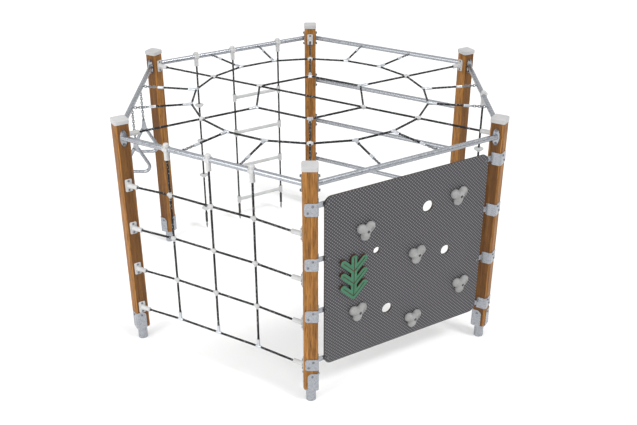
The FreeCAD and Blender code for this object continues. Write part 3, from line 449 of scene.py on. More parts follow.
# %% [markdown]
# ## Laid rope
# A 16 mm climbing rope is six strands laid round a core, and each strand goes once round in about
# 110 mm. Modelling each strand would cost too much over forty metres, so one star-shaped ring is
# screwed along its axis: the Screw modifier turns and lifts it in small steps.
# The hanging ropes are free ropes of a set length. Each follows a smooth NURBS line through its
# points, and the laid mesh is bent along that line with a Curve modifier.

# %% One rope of any length
ROPE_DIAMETER = 0.016
LAY = 0.108
STRANDS = 6


def laid_rope(name, length, step=0.009):
    clear()
    bpy.ops.mesh.primitive_circle_add(vertices=3 * STRANDS, radius=ROPE_DIAMETER / 2, fill_type="NOTHING")
    rope = added(name)
    choose(rope, "VERT", lambda v: v.index % 3 == 0)
    bpy.ops.transform.resize(value=(0.74, 0.74, 1), center_override=(0, 0, 0))
    bpy.ops.object.mode_set(mode="OBJECT")
    count = max(4, round(length / step))
    modify(rope, "SCREW", axis="Z", angle=math.tau * length / LAY, screw_offset=length, steps=count,
           render_steps=count, use_merge_vertices=False, use_smooth_shade=True)
    choose(rope, "EDGE", lambda e: e.is_boundary)
    bpy.ops.mesh.fill_holes(sides=0)
    bpy.ops.mesh.select_all(action="SELECT")
    bpy.ops.mesh.normals_make_consistent(inside=False)
    bpy.ops.object.mode_set(mode="OBJECT")
    return rope


def rope_between(name, start, end, start_gap=0.0, end_gap=0.0):
    """A taut rope between two points, stopped short of each by a gap."""
    way = (end - start).normalized()
    first, last = start + way * start_gap, end - way * end_gap
    rope = laid_rope(name, (last - first).length)
    return settle(rope, standing(first, way))


def line_points(name, points):
    """A smooth NURBS line through its control points, and the points read from it."""
    data = bpy.data.curves.new(name, "CURVE")
    data.dimensions = "3D"
    data.resolution_u = 16
    spline = data.splines.new("NURBS")
    spline.points.add(len(points) - 1)
    for knot, point in zip(spline.points, points):
        knot.co = (*point, 1)
    spline.order_u = 3
    spline.use_endpoint_u = True
    line = bpy.data.objects.new(name, data)
    bpy.context.scene.collection.objects.link(line)
    bpy.context.view_layer.update()
    read = bpy.data.meshes.new_from_object(line)
    return line, [vertex.co.copy() for vertex in read.vertices]


def hanging_cord(name, points, body, node, far_pieces):
    line, path = line_points(name + "_line", points)
    length = sum((b - a).length for a, b in zip(path, path[1:]))
    rope = laid_rope(name, length)
    modify(rope, "CURVE", object=line, deform_axis="POS_Z")
    bpy.data.objects.remove(line)
    fitted(rope, body, [node], "rope", rope_finish)
    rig.cord(rope, exit=path[0], length=length, diameter=ROPE_DIAMETER, far_end="fitting",
            stiffness="stiff", lay="hanging", path=path, with_pieces=far_pieces)
    print(name, "is", round(length, 3), "m long")
    return rope


print("rope tools ready")

# %% [markdown]
# ## Plastic, rubber and aluminium finishes
# Moulded parts are never one flat colour: the tool leaves a fine grain and the pigment drifts a little.
# Each moulded finish is the same recipe with its own colour, made once
# here as a function. Aluminium fittings are turned and tumbled, so they get fine scratches.

# %% Moulded finishes
def moulded(name, light, dark, grain=1500.0, roughness=0.45, depth=0.00012):
    made, tree, shader = finish_named(name, roughness=roughness)
    at = place_on(tree)
    drift = noise(tree, at, 9, 3)
    speck = noise(tree, at, grain, 2)
    colour = ramp(tree, drift, (0.3, dark), (0.7, light))
    colour = mix(tree, maths(tree, "MULTIPLY", speck, 0.22), colour, tuple(0.55 * c for c in dark))
    wire(tree, colour, shader, "Base Color")
    gloss = maths(tree, "MULTIPLY_ADD", noise(tree, at, 60, 4), 0.22, roughness - 0.11)
    wire(tree, gloss, shader, "Roughness")
    raised(tree, shader, speck, depth, 0.5)
    return made


white_plastic = moulded("white_moulding", (0.62, 0.62, 0.62), (0.50, 0.50, 0.50), roughness=0.38)
cap_plastic = moulded("cap_moulding", (0.55, 0.55, 0.55), (0.46, 0.46, 0.46), grain=900, roughness=0.5)
step_plastic = moulded("step_moulding", (0.60, 0.61, 0.61), (0.47, 0.48, 0.48), grain=1100, roughness=0.42)
rope_end_rubber = moulded("shrunk_black_sleeve", (0.035, 0.035, 0.037), (0.018, 0.018, 0.019), grain=600,
                          roughness=0.5, depth=0.0003)

aluminium, tree, shader = finish_named("tumbled_aluminium", metallic=0.9, roughness=0.36)
at = place_on(tree)
scratches = noise(tree, place_on(tree, scale=(1, 1, 0.12)), 900, 3)
tone = ramp(tree, noise(tree, at, 45, 5), (0.3, (0.50, 0.53, 0.57)), (0.7, (0.72, 0.75, 0.78)))
wire(tree, tone, shader, "Base Color")
wire(tree, maths(tree, "MULTIPLY_ADD", scratches, 0.25, 0.22), shader, "Roughness")
raised(tree, shader, scratches, 0.00008, 0.6)
print("moulded, rubber and aluminium finishes made")

# %% [markdown]
# ## Galvanised steel
# Hot-dip zinc freezes in flat crystals, which show as soft patches of grey, 8 to 15 mm across.
# One layer of cells gives each patch its own tone and gloss, and a fine noise dulls the whole.
# Bolts and chain carry zinc plating instead, with smaller patches and brighter wear, so they get their own.
# The bolts' and eyes' plating is painted darker than it is: painted shade round their heads.

# %% Steel finishes
def zinc(name, size, light, dark, gloss, metallic=0.85, depth=0.00012):
    made, tree, shader = finish_named(name, metallic=metallic, roughness=gloss)
    at = place_on(tree)
    patch = add(tree, "TexVoronoi", {"Vector": at, "Scale": 1 / size}).outputs["Color"]
    value = add(tree, "SeparateColor", {"Color": patch}).outputs["Red"]
    film = noise(tree, at, 180, 5)
    mean = maths(tree, "MULTIPLY_ADD", film, 0.6, maths(tree, "MULTIPLY", value, 0.4))
    wire(tree, ramp(tree, mean, (0.25, dark), (0.75, light)), shader, "Base Color")
    wire(tree, maths(tree, "MULTIPLY_ADD", value, 0.16, gloss - 0.08), shader, "Roughness")
    raised(tree, shader, maths(tree, "ADD", film, maths(tree, "MULTIPLY", value, 0.4)), depth, 0.6)
    return made


galvanised = zinc("hot_dip_zinc", 0.011, (0.40, 0.42, 0.45), (0.30, 0.315, 0.34), 0.29)
# painted shade: this plating is coloured darker than its real tone, for the dark shadow round each bolt head
plating_painted_dark = zinc("plated_zinc_painted_dark", 0.004, (0.26, 0.27, 0.29), (0.13, 0.135, 0.15), 0.36, 0.9)
chain_zinc = zinc("chain_zinc", 0.003, (0.34, 0.36, 0.38), (0.12, 0.125, 0.135), 0.38, 0.9, 0.0002)
dress(["top_bar_" + side for side in SIDES]
      + ["climb_bar_high", "climb_bar_middle", "climb_bar_low", "post_feet",
      "panel_brackets", "trapeze_back_triangle", "trapeze_front_triangle"], galvanised)
dress(["post_screws", "bar_bolts", "panel_bolts", "hold_bolts", "bar_eyes"], plating_painted_dark)
dress(["net_tie_chains"]
      + ["trapeze_%s_%s_chain" % (end, half)
         for end in ("back", "front") for half in ("upper", "lower")],
      chain_zinc)
dress(["post_caps"], cap_plastic)
print("steel done")

# %% [markdown]
# ## Turned fittings
# Most of the fittings are round, so they are made as on a lathe. One point is extruded along half
# the outline and then spun once round the axis. The double points of the seam are merged, and the
# normals are turned out again, because a spin can leave them inside out.

# %% Lathe, rod and welds
def lathe(name, outline, steps=28):
    """A closed turned piece from (radius, height) pairs, which start and end on the axis."""
    clear()
    bpy.ops.mesh.primitive_plane_add(size=0.001)
    piece = added(name)
    bpy.ops.object.mode_set(mode="EDIT")
    bpy.ops.mesh.select_mode(type="VERT")
    bpy.ops.mesh.select_all(action="SELECT")
    bpy.ops.mesh.merge(type="CENTER")
    bpy.ops.transform.translate(value=(outline[0][0], 0, outline[0][1]))
    for (r0, z0), (r1, z1) in zip(outline, outline[1:]):
        bpy.ops.mesh.extrude_region_move(TRANSFORM_OT_translate={"value": (r1 - r0, 0, z1 - z0)})
    bpy.ops.mesh.select_all(action="SELECT")
    bpy.ops.mesh.spin(steps=steps, angle=math.tau, center=(0, 0, 0), axis=(0, 0, 1))
    bpy.ops.mesh.select_all(action="SELECT")
    bpy.ops.mesh.remove_doubles(threshold=0.00002)
    bpy.ops.mesh.normals_make_consistent(inside=False)
    bpy.ops.object.mode_set(mode="OBJECT")
    return piece


def rod(name, start, end, radius, vertices=24, edge=0.0):
    """A round bar between two points, with its rims bevelled."""
    start, end = Vector(start), Vector(end)
    clear()
    bpy.ops.mesh.primitive_cylinder_add(vertices=vertices, radius=radius, depth=(end - start).length)
    piece = added(name)
    if edge:
        modify(piece, "BEVEL", width=edge, segments=2, limit_method="ANGLE", angle_limit=math.radians(50))
    return settle(piece, standing((start + end) / 2, end - start))


def cut_or_join(piece, tool, operation):
    modify(piece, "BOOLEAN", operation=operation, solver="EXACT", object=tool)
    bpy.data.objects.remove(tool)
    return piece


def arc(centre, radius, start, end, count):
    """Points of an outline's arc, as (radius, height) pairs, from one angle to another."""
    angles = [math.radians(start + (end - start) * k / count) for k in range(count + 1)]
    return [(centre[0] + radius * math.cos(a), centre[1] + radius * math.sin(a)) for a in angles]


print("lathe ready")

# %% [markdown]
# ## Ball joints
# Where two ropes of the net cross, two plastic half shells are screwed together over them. The
# joint is a 36 mm ball with a parting seam, a screw pocket at each pole and a short collar round
# each rope. It is turned once as a ball, its collars are joined with a Boolean, and it is copied.

# %% Ball joints
BALL = 0.018
COLLAR = 0.011
COLLAR_REACH = 0.022
pocket = [(0, -0.0150), (0.0040, -0.0150), (0.0046, -0.01735)]
seam = (arc((0, 0), BALL, -66, -4, 9)
        + [(BALL - 0.0009, -0.0005), (BALL - 0.0009, 0.0005)]
        + arc((0, 0), BALL, 4, 66, 9))
ball_outline = pocket + seam[1:-1] + [(r, -z) for r, z in reversed(pocket)]
collar_outline = [(0, 0.004), (COLLAR, 0.004), (COLLAR, COLLAR_REACH - 0.002),
                  (COLLAR - 0.001, COLLAR_REACH - 0.0004),
                  (COLLAR - 0.002, COLLAR_REACH), (0.0084, COLLAR_REACH), (0.0084, COLLAR_REACH - 0.003),
                  (0, COLLAR_REACH - 0.003)]


def with_collars(piece, directions, outline=None):
    for direction in directions:
        collar = lathe("collar", outline or collar_outline, 20)
        cut_or_join(piece, settle(collar, standing((0, 0, 0), direction)), "UNION")
    return piece


def ring_ways(spread):
    """The two ways along a ring from a joint that faces +X."""
    return [polar(1, spread), polar(1, -spread)]


net_joint = with_collars(lathe("net_joint", ball_outline), ring_ways(100) + [(1, 0, 0), (-1, 0, 0)])
cross_joint = with_collars(lathe("cross_joint", ball_outline), ring_ways(120) + [(1, 0, 0), (-1, 0, 0)])
OUTER_RING, INNER_RING, TIE_SPREAD = 0.898, 0.457, 20
outer_places = [facing(polar(OUTER_RING, angle, TOP_BAR_Z), polar(1, angle)) for angle in POSTS.values()]
cross_places = [facing(polar(INNER_RING, POSTS[post], TOP_BAR_Z), polar(1, POSTS[post]))
                for post in ("back_left", "front_right")]
net_balls = joined("net_ball_shells", [set_out("outer_balls", net_joint, outer_places),
                                       set_out("cross_balls", cross_joint, cross_places)])
fitted(smooth(net_balls), "frame", ["net_ball_joints"], "white_plastic", white_plastic)

SIDE_NET_PITCH, SIDE_NET_TOP_ROW = 0.341, 1.335
columns = [-SIDE_NET_PITCH, 0.0, SIDE_NET_PITCH]
rows = [SIDE_NET_TOP_ROW - SIDE_NET_PITCH * row for row in range(4)]
wall_joint = with_collars(settle(lathe("wall_joint", ball_outline), standing((0, 0, 0), (1, 0, 0))),
                          [(0, 1, 0), (0, -1, 0), (0, 0, 1), (0, 0, -1)])
wall_places = [facing(side_point("front_left", along, z), polar(1, SIDES["front_left"]))
               for along in columns for z in rows[:3]]
fitted(smooth(set_out("side_net_ball_shells", wall_joint, wall_places)), "frame", ["side_net_ball_joints"],
       "white_plastic", white_plastic)

# %% [markdown]
# ## Metal tees
# Where a rope ends on another, an aluminium tee is pressed over both: a round hub with a long stem
# on the rope that ends. The press leaves two shallow rings near the stem's mouth, and those are
# what make it read as metal, so they are part of the turned outline.

# %% Metal tees
HUB = 0.013
STEM = 0.064
stem_outline = [(0, 0.002), (0.0120, 0.002), (0.0120, 0.030), (0.0112, 0.032), (0.0112, 0.036),
                (0.0120, 0.038),
                (0.0120, 0.044), (0.0112, 0.046), (0.0112, 0.050), (0.0120, 0.052), (0.0120, STEM - 0.002),
                (0.0108, STEM), (0.0084, STEM), (0.0084, STEM - 0.003), (0, STEM - 0.003)]
hub_outline = [(0, -HUB)] + arc((0, 0), HUB, -80, 80, 12) + [(0, HUB)]


def tee(name, stem, ring):
    return with_collars(with_collars(lathe(name, hub_outline, 24), ring), [stem], stem_outline)


tie_angles = [angle + turn for angle in POSTS.values() for turn in (-TIE_SPREAD, TIE_SPREAD)]
outer_tees = [facing(polar(OUTER_RING, angle, TOP_BAR_Z), polar(1, angle)) for angle in tie_angles]
inner_tees = [facing(polar(INNER_RING, POSTS[post], TOP_BAR_Z), polar(1, POSTS[post]))
              for post in ("front_left", "front", "back_right", "back")]
net_tees = joined("net_tee_fittings",
                  [set_out("outer_tees", tee("outer_tee", (1, 0, 0), ring_ways(100)), outer_tees),
                   set_out("inner_tees", tee("inner_tee", (1, 0, 0), ring_ways(120)), inner_tees)])
fitted(smooth(net_tees), "frame", ["net_t_joints"], "fitting_aluminium", aluminium)
wall_tee = tee("wall_tee", (0, 0, 1), [(0, 1, 0), (0, -1, 0)])
foot_places = [facing(side_point("front_left", along, rows[3]),
                      polar(1, SIDES["front_left"])) for along in columns]
fitted(smooth(set_out("side_net_tee_fittings", wall_tee, foot_places)), "frame", ["side_net_t_joints"],
       "fitting_aluminium", aluminium)

# %% [markdown]
# ## Pressed ferrules
# Each of the twelve ties ends in a short aluminium ferrule, pressed round the rope and the last
# link of its chain. The outline has three press marks and rounded shoulders.
# The tie's parts lie on one line from the bar inward: eye, five links, ferrule, rope, tee.

# %% Pressed ferrules
def tie_line(angle):
    """The ferrule's outer end, its inner end and the tie rope's inner end."""
    side = min(SIDES.values(), key=lambda a: abs((angle - a + 180) % 360 - 180))
    seat = (BAR_LINE - BAR_RADIUS) / math.cos(math.radians(angle - side))
    first = seat - 0.026 - (0.00925 - 0.003 - 0.0003)
    sleeve = first - 4 * 0.0182 - (0.01525 - 0.005)
    return (polar(sleeve, angle, TOP_BAR_Z), polar(sleeve - 0.050, angle, TOP_BAR_Z),
            polar(OUTER_RING + STEM, angle, TOP_BAR_Z))


marks = [(0.0110, z) if k % 2 else (0.0102, z) for z0 in (0.010, 0.022, 0.034)
         for k, z in ((1, z0), (0, z0 + 0.001), (0, z0 + 0.005), (1, z0 + 0.006))]
ferrule_outline = [(0, 0.0006), (0.0070, 0), (0.0096, 0.0008), (0.0110, 0.003)] + marks + [
    (0.0110, 0.047), (0.0098, 0.0495), (0.0084, 0.050), (0, 0.050)]
ferrule_places = [standing(tie_line(angle)[0], polar(-1, angle)) for angle in tie_angles]
fitted(smooth(set_out("net_tie_pressed_ferrules", lathe("ferrule", ferrule_outline, 24), ferrule_places)),
       "frame",
       ["net_tie_ferrules"], "fitting_aluminium", aluminium)

# %% [markdown]
# ## Ropes of the overhead net
# Six spokes run from the posts to the inner ring, eighteen short ropes make the outer ring, six
# make the inner ring, one crosses the middle, and twelve ties go out to the bars. Each is a taut
# rope between two fittings, and ends a few millimetres inside them.

# %% Ropes of the overhead net
TUCK = 0.004
NOSE_REACH = 0.080
gap = COLLAR_REACH - TUCK
stem_gap = STEM - TUCK
ring_points = [polar(OUTER_RING, 10 + 20 * k, TOP_BAR_Z) for k in range(18)]
ring_rope = rope_between("ring_rope", ring_points[0], ring_points[1], gap, gap)
outer_rope = set_out("net_outer_ring_laid", ring_rope,
                     [Matrix.Rotation(math.radians(20 * k), 4, "Z") for k in range(18)])
fitted(outer_rope, "frame", ["net_outer_ring_ropes"], "rope", rope_finish)
inner_rope = rope_between("inner_rope", polar(INNER_RING, 30, TOP_BAR_Z), polar(INNER_RING, 90, TOP_BAR_Z),
                          gap, gap)
inner_rope = set_out("net_inner_ring_laid", inner_rope,
                     [Matrix.Rotation(math.radians(60 * k), 4, "Z") for k in range(6)])
fitted(inner_rope, "frame", ["net_inner_ring_ropes"], "rope", rope_finish)
spoke_ropes = []
for post, angle in POSTS.items():
    nose = polar(POST_CIRCLE - HALF_POST - NOSE_REACH, angle, TOP_BAR_Z)
    ball = polar(OUTER_RING, angle, TOP_BAR_Z)
    inner = polar(INNER_RING, angle, TOP_BAR_Z)
    crossing = post in ("back_left", "front_right")
    spoke_ropes.append(rope_between("spoke", nose, ball, -TUCK, gap))
    spoke_ropes.append(rope_between("spoke", ball, inner, gap, gap if crossing else stem_gap))
fitted(joined("net_spokes_laid", spoke_ropes), "frame", ["net_spoke_ropes"], "rope", rope_finish)
cross_rope = rope_between("net_cross_laid", polar(INNER_RING, 150, TOP_BAR_Z),
                          polar(INNER_RING, 330, TOP_BAR_Z), gap, gap)
fitted(cross_rope, "frame", ["net_cross_rope"], "rope", rope_finish)
tie_ropes = []
for angle in tie_angles:
    start, middle, end = tie_line(angle)
    tie_ropes.append(rope_between("tie", middle, end, -TUCK, -TUCK))
fitted(joined("net_ties_laid", tie_ropes), "frame", ["net_tie_ropes"], "rope", rope_finish)

# %% [markdown]
# ## Ropes of the side net
# Four rows run from post to post and three drops hang from clamps on the bar. The drops pull the
# rows up by 14 mm, so the outer rope of each row slants down to its bracket.

# %% Ropes of the side net
NET_SIDE = "front_left"
nose_end = BAR_HALF - NOSE_REACH
row_ropes, drop_ropes = [], []
for z in rows:
    ends = [side_point(NET_SIDE, along, z - 0.014) for along in (-nose_end, nose_end)]
    route = [ends[0]] + [side_point(NET_SIDE, along, z) for along in columns] + [ends[1]]
    gaps = [0.001] + [gap] * 3 + [0.001]
    row_ropes += [rope_between("row", route[k], route[k + 1], gaps[k], gaps[k + 1]) for k in range(4)]
ROPE_TOP = TOP_BAR_Z - 0.062
for along in columns:
    drop_ropes.append(rope_between("drop", side_point(NET_SIDE, along, ROPE_TOP),
                                   side_point(NET_SIDE, along, rows[0]), 0, gap))
    for row in range(3):
        low = gap if row < 2 else stem_gap
        drop_ropes.append(rope_between("drop", side_point(NET_SIDE, along, rows[row]),
                                       side_point(NET_SIDE, along, rows[row + 1]), gap, low))
fitted(joined("side_net_rows_laid", row_ropes), "frame", ["side_net_row_ropes"], "rope", rope_finish)
fitted(joined("side_net_drops_laid", drop_ropes), "frame", ["side_net_drop_ropes"], "rope", rope_finish)

# %% [markdown]
# ## Bar clamps
# A hanging rope starts in a white clamp on its bar: an upright barrel with a domed top, a wide
# ring round the bar and a flared socket below for the rope. The barrel is turned with its socket,
# the ring is joined on, and the bar's bore is cut through both.

# %% Bar clamps
CLAMP_DROP = 0.080
clamp_outline = [(0, -0.058), (0.0110, -0.058), (0.0180, -CLAMP_DROP), (0.0184, -CLAMP_DROP),
                 (0.0190, -0.0788), (0.0178, -0.060), (0.0172, -0.058), (0.0178, -0.056),
                 (0.0180, -0.030), (0.0200, -0.022), (0.0200, 0.028)] + arc((0.008, 0.028),
                 0.012, 12, 84, 6) + [
                 (0.0060, 0.0400), (0.0052, 0.0388), (0, 0.0388)]


def clamp():
    piece = lathe("clamp", clamp_outline, 32)
    cut_or_join(piece, rod("ring", (0, -0.021, 0), (0, 0.021, 0), 0.025, 40, 0.0025), "UNION")
    for side in (-1, 1):
        cut_or_join(piece, rod("boss", (0.012, side * 0.0125, 0.018), (0.030, side * 0.0125, 0.018), 0.0045,
                               16, 0.001), "UNION")
    return cut_or_join(piece, rod("bore", (0, -0.04, 0), (0, 0.04, 0), 0.01905, 64), "DIFFERENCE")


def clamps(name, side, places, body, node):
    at = [facing(side_point(side, along, TOP_BAR_Z), polar(1, SIDES[side])) for along in places]
    return fitted(smooth(set_out(name, clamp(), at)), body, [node], "white_plastic", white_plastic)


LADDER = [-0.203 - 0.2235, -0.203 + 0.2235]
LEFT_DISCS, RIGHT_DISCS = 0.364, 0.0
clamps("side_net_clamp_shells", NET_SIDE, columns, "frame", "side_net_bar_clamps")
clamps("ladder_clamp_shells", "back_left", LADDER, "ladder", "ladder_bar_clamps")
clamps("disc_left_clamp_shell", "back_left", [LEFT_DISCS], "left_disc_clamp", "disc_rope_left_clamp")
clamps("disc_right_clamp_shell", "right", [RIGHT_DISCS], "right_disc_clamp", "disc_rope_right_clamp")

# %% [markdown]
# ## Post brackets
# The net's ropes meet the posts in white noses on flat plates. The plate is a cube, pressed to its
# size, with its upright corners well rounded and its rims broken. The nose is turned, leans with
# its rope, and is joined to the plate. A shallow ring at its root is the mould's fillet.

# %% Post brackets
nose_outline = [(0, 0.001), (0.0205, 0.001), (0.0205, 0.0075), (0.0185, 0.0092), (0.0172, 0.0125),
                (0.0170, 0.040),
                (0.0170, NOSE_REACH - 0.004), (0.0158, NOSE_REACH - 0.0012), (0.0135, NOSE_REACH),
                (0.0086, NOSE_REACH), (0.0086, NOSE_REACH - 0.003), (0, NOSE_REACH - 0.003)]


def bracket(lean):
    """A bracket on X = 0 that faces +X."""
    clear()
    bpy.ops.mesh.primitive_cube_add(size=1, location=(0.003, 0, 0), scale=(0.006, 0.050, 0.095))
    plate = settle(added("bracket"))
    choose(plate, "EDGE", lambda e: abs(e.verts[0].co.x - e.verts[1].co.x) > 0.001)
    bpy.ops.mesh.bevel(offset=0.0083, segments=5, affect="EDGES")
    bpy.ops.object.mode_set(mode="OBJECT")
    choose(plate, "FACE", lambda f: f.normal.x > 0.9)
    bpy.ops.mesh.bevel(offset=0.0012, segments=2, affect="EDGES")
    bpy.ops.object.mode_set(mode="OBJECT")
    nose = settle(lathe("nose", nose_outline, 32), standing((0, 0, 0), polar(1, lean)))
    cut_or_join(plate, nose, "UNION")
    behind = rod("behind", (-0.05, 0, 0), (0, 0, 0), 0.12, 16)
    return cut_or_join(plate, behind, "DIFFERENCE")


def on_post(post, face, z):
    """The matrix that puts a piece facing +X on one face of a post."""
    turn = Matrix.Rotation(math.radians(POSTS[post]), 4, "Z")
    spin = Matrix.Rotation(math.radians(face), 4, "Z")
    return turn @ Matrix.Translation((POST_CIRCLE, 0, z)) @ spin @ Matrix.Translation((HALF_POST, 0, 0))


net_places = [on_post(post, 180, TOP_BAR_Z) for post in POSTS]
fitted(smooth(set_out("net_post_noses", bracket(0), net_places)), "frame", ["net_post_brackets"],
       "white_plastic", white_plastic)
left_noses = set_out("left_noses", bracket(30), [on_post("front_left", 90, z - 0.014) for z in rows])
right_noses = set_out("right_noses", bracket(-30), [on_post("front", 270, z - 0.014) for z in rows])
fitted(smooth(joined("side_net_post_noses", [left_noses, right_noses])), "frame", ["side_net_post_brackets"],
       "white_plastic", white_plastic)

# %% [markdown]
# ## Rope ends
# A hanging rope ends in a black shrunk sleeve, 100 mm long, with three chain links below it that
# can be anchored. The sleeve is turned with the slight waves that shrinking leaves. A link starts
# as a torus, and the halves of the ring are pulled apart, which draws out its straight sides.

# %% Rope ends
SLEEVE_TOP = 0.172
waves = [(0.0112 + 0.0006 * math.sin(k * 2.1) - 0.0004 * (k % 2), 0.012 + 0.0045 * k) for k in range(17)]
sleeve_outline = [(0, 0), (0.0090, 0), (0.0104, 0.0025), (0.0118, 0.006)] + waves + [
    (0.0118, 0.092), (0.0100, 0.098), (0.0090, 0.100), (0, 0.100)]


def link():
    """One chain link about the origin, long along Z and wide along X."""
    clear()
    bpy.ops.mesh.primitive_torus_add(major_radius=0.0072, minor_radius=0.003, major_segments=20,
                                     minor_segments=10,
                                     rotation=(math.radians(90), 0, 0))
    piece = settle(added("link"))
    for way in (1, -1):
        choose(piece, "VERT", lambda v: v.co.z * way > 0.0001)
        bpy.ops.transform.translate(value=(0, 0, way * 0.00505))
        bpy.ops.object.mode_set(mode="OBJECT")
    return piece


def rope_end(name, side, along, body, node):
    """Sleeve and links at the foot of a hanging rope."""
    frame_of = facing(side_point(side, along, SLEEVE_TOP), polar(1, SIDES[side]))
    sleeve = settle(lathe(name + "_sleeve", sleeve_outline, 24),
                    frame_of @ Matrix.Translation((0, 0, -0.100)))
    fitted(smooth(sleeve), body, [node], "rope_end", rope_end_rubber)
    places = []
    for k in range(3):
        down = Matrix.Translation((0, 0, -0.100 - 0.01025 - 0.0182 * k))
        places.append(frame_of @ down @ Matrix.Rotation(math.radians(90 * (k % 2)), 4, "Z"))
    links = fitted(smooth(set_out(name + "_links", link(), places)), body, [node], "chain_steel", chain_zinc)
    return [sleeve, links]


ladder_ends = [rope_end("ladder_end_" + hand, "back_left", along, "ladder", "ladder_rope_ends")
               for hand, along in zip(("left", "right"), LADDER)]
disc_left_end = rope_end("disc_left_end", "back_left", LEFT_DISCS, "left_disc_rope", "disc_rope_left_end")
disc_right_end = rope_end("disc_right_end", "right", RIGHT_DISCS, "right_disc_rope", "disc_rope_right_end")

# %% [markdown]
# ## Foot discs
# Each disc rope carries four foot discs, 340 mm apart. A disc is a thick round tread with a grip
# groove on top, a rounded rim, a hub round the rope and a tapered underside. It is turned, and
# eight shallow pads round the tread are pressed up with an inset and an extrude.

# %% Foot discs
STEPS = [1.240 - 0.340 * k for k in range(4)]
disc_outline = [(0.0082, 0.0116), (0.0150, 0.0120), (0.0160, 0.0110), (0.0172, 0.0104),
                (0.0240, 0.0087), (0.0248, 0.0078),
                (0.0262, 0.0076), (0.0270, 0.0082), (0.0320, 0.0060)] + arc((0.032, 0), 0.006, 75, -75, 8) + [
                (0.0320, -0.0060), (0.0300, -0.0072), (0.0165, -0.0205), (0.0150, -0.0220),
                (0.0082, -0.0218), (0.0082, 0.0116)]
disc = lathe("disc", disc_outline, 32)
choose(disc, "FACE", lambda f: f.normal.z > 0.9 and 0.019 < f.calc_center_median().xy.length < 0.023
       and int((math.degrees(math.atan2(f.calc_center_median().y, f.calc_center_median().x)) + 360)
                / 11.25) % 4 in (0, 1))
bpy.ops.mesh.inset(thickness=0.0007, use_individual=False)
bpy.ops.transform.translate(value=(0, 0, 0.0007))
bpy.ops.object.mode_set(mode="OBJECT")
disc_copy = disc.copy()
disc_copy.data = disc.data.copy()
bpy.context.scene.collection.objects.link(disc_copy)
left_at = [Matrix.Translation(side_point("back_left", LEFT_DISCS, z)) for z in STEPS]
right_at = [Matrix.Translation(side_point("right", RIGHT_DISCS, z)) for z in STEPS]
left_discs = fitted(smooth(set_out("disc_left_treads", disc, left_at), 50), "left_disc_rope",
                    ["disc_rope_left_discs"], "step_plastic", step_plastic)
right_discs = fitted(smooth(set_out("disc_right_treads", disc_copy, right_at), 50), "right_disc_rope",
                     ["disc_rope_right_discs"], "step_plastic", step_plastic)

# %% [markdown]
# ## Ladder rungs
# A rung is a 30 mm tube between two upright sleeves on the ropes. The sleeves have rounded rims
# and a shallow waist, and the tube has four grip bands, so that a foot finds it. The tube is
# turned lying down, with a little more radius where it runs into each sleeve.

# %% Ladder rungs
sleeve_shape = [(0.0082, -0.034), (0.0150, -0.034), (0.0166, -0.0325), (0.0170, -0.030), (0.0170, -0.022),
                (0.0164, -0.020), (0.0164, 0.020), (0.0170, 0.022), (0.0170, 0.030), (0.0166, 0.0325),
                (0.0150, 0.034),
                (0.0082, 0.034),
                (0.0082, -0.034)]
half_rung = 0.447 / 2
bands = [(r, z) for z0 in (-0.12, -0.04, 0.04, 0.12)
         for r, z in ((0.0150, z0 - 0.016), (0.0143, z0 - 0.014), (0.0143, z0 + 0.014), (0.0150, z0 + 0.016))]
tube_outline = [(0, -half_rung + 0.012), (0.0160, -half_rung + 0.012), (0.0160, -half_rung + 0.026),
                (0.0150, -half_rung + 0.032)]
tube_outline += bands + [(r, -z) for r, z in reversed(tube_outline)]
rung_parts = [settle(lathe("tube", tube_outline, 24), Matrix.Rotation(math.radians(90), 4, "X"))]
for hand in (-1, 1):
    rung_parts.append(settle(lathe("sleeve", sleeve_shape, 28), Matrix.Translation((0, hand * half_rung, 0))))
rung = joined("rung", rung_parts)
rung_at = [facing(side_point("back_left", sum(LADDER) / 2, z), polar(1, SIDES["back_left"])) for z in STEPS]
fitted(smooth(set_out("ladder_rung_mouldings", rung, rung_at)), "ladder", ["ladder_rungs"],
       "step_plastic", step_plastic)

# %% [markdown]
# ## The hanging ropes
# Two ropes carry the ladder and two carry the discs. Each is 1.5 m of free rope, from its clamp's
# socket down to the grip inside its sleeve. Steel cores keep it straight, so its line has a few
# points on one upright.

# %% Hanging ropes
ROPE_FOOT = 0.100


def upright(side, along):
    return [side_point(side, along, z) for z in (ROPE_TOP, 1.40, 0.95, 0.45, ROPE_FOOT)]


for hand, along, end in zip(("left", "right"), LADDER, ladder_ends):
    hanging_cord("ladder_cord_" + hand, upright("back_left", along), "ladder", "ladder_ropes", end)
hanging_cord("disc_left_cord", upright("back_left", LEFT_DISCS), "left_disc_rope",
             "disc_rope_left_rope", disc_left_end + [left_discs])
hanging_cord("disc_right_cord", upright("right", RIGHT_DISCS), "right_disc_rope",
             "disc_rope_right_rope", disc_right_end + [right_discs])

# %% [markdown]
# ## Climbing holds
# The six holds come from one mould: three knobs round a bolt, with a finger pocket beside the
# bolt's recess. Knobs of this kind are sculpted, so three balls and their necks are fused by a
# voxel remesh and smoothed until the joins flow. The back is bisected flat, and the recess and
# pocket are cut in.

# %% Climbing holds
hold_finish, tree, shader = finish_named("cast_grit_grey", roughness=0.72)
at = place_on(tree)
grit = noise(tree, at, 1300, 3, 0.7)
fleck = cells(tree, at, 260)
tone = ramp(tree, noise(tree, at, 22, 4), (0.3, (0.27, 0.27, 0.268)), (0.7, (0.37, 0.37, 0.365)))
tone = mix(tree, ramp(tree, fleck, (0.05, 0.55), (0.16, 0.0)), tone, (0.17, 0.17, 0.17))
wire(tree, tone, shader, "Base Color")
wire(tree, maths(tree, "MULTIPLY_ADD", grit, 0.3, 0.55), shader, "Roughness")
raised(tree, shader, grit, 0.0006, 0.7)

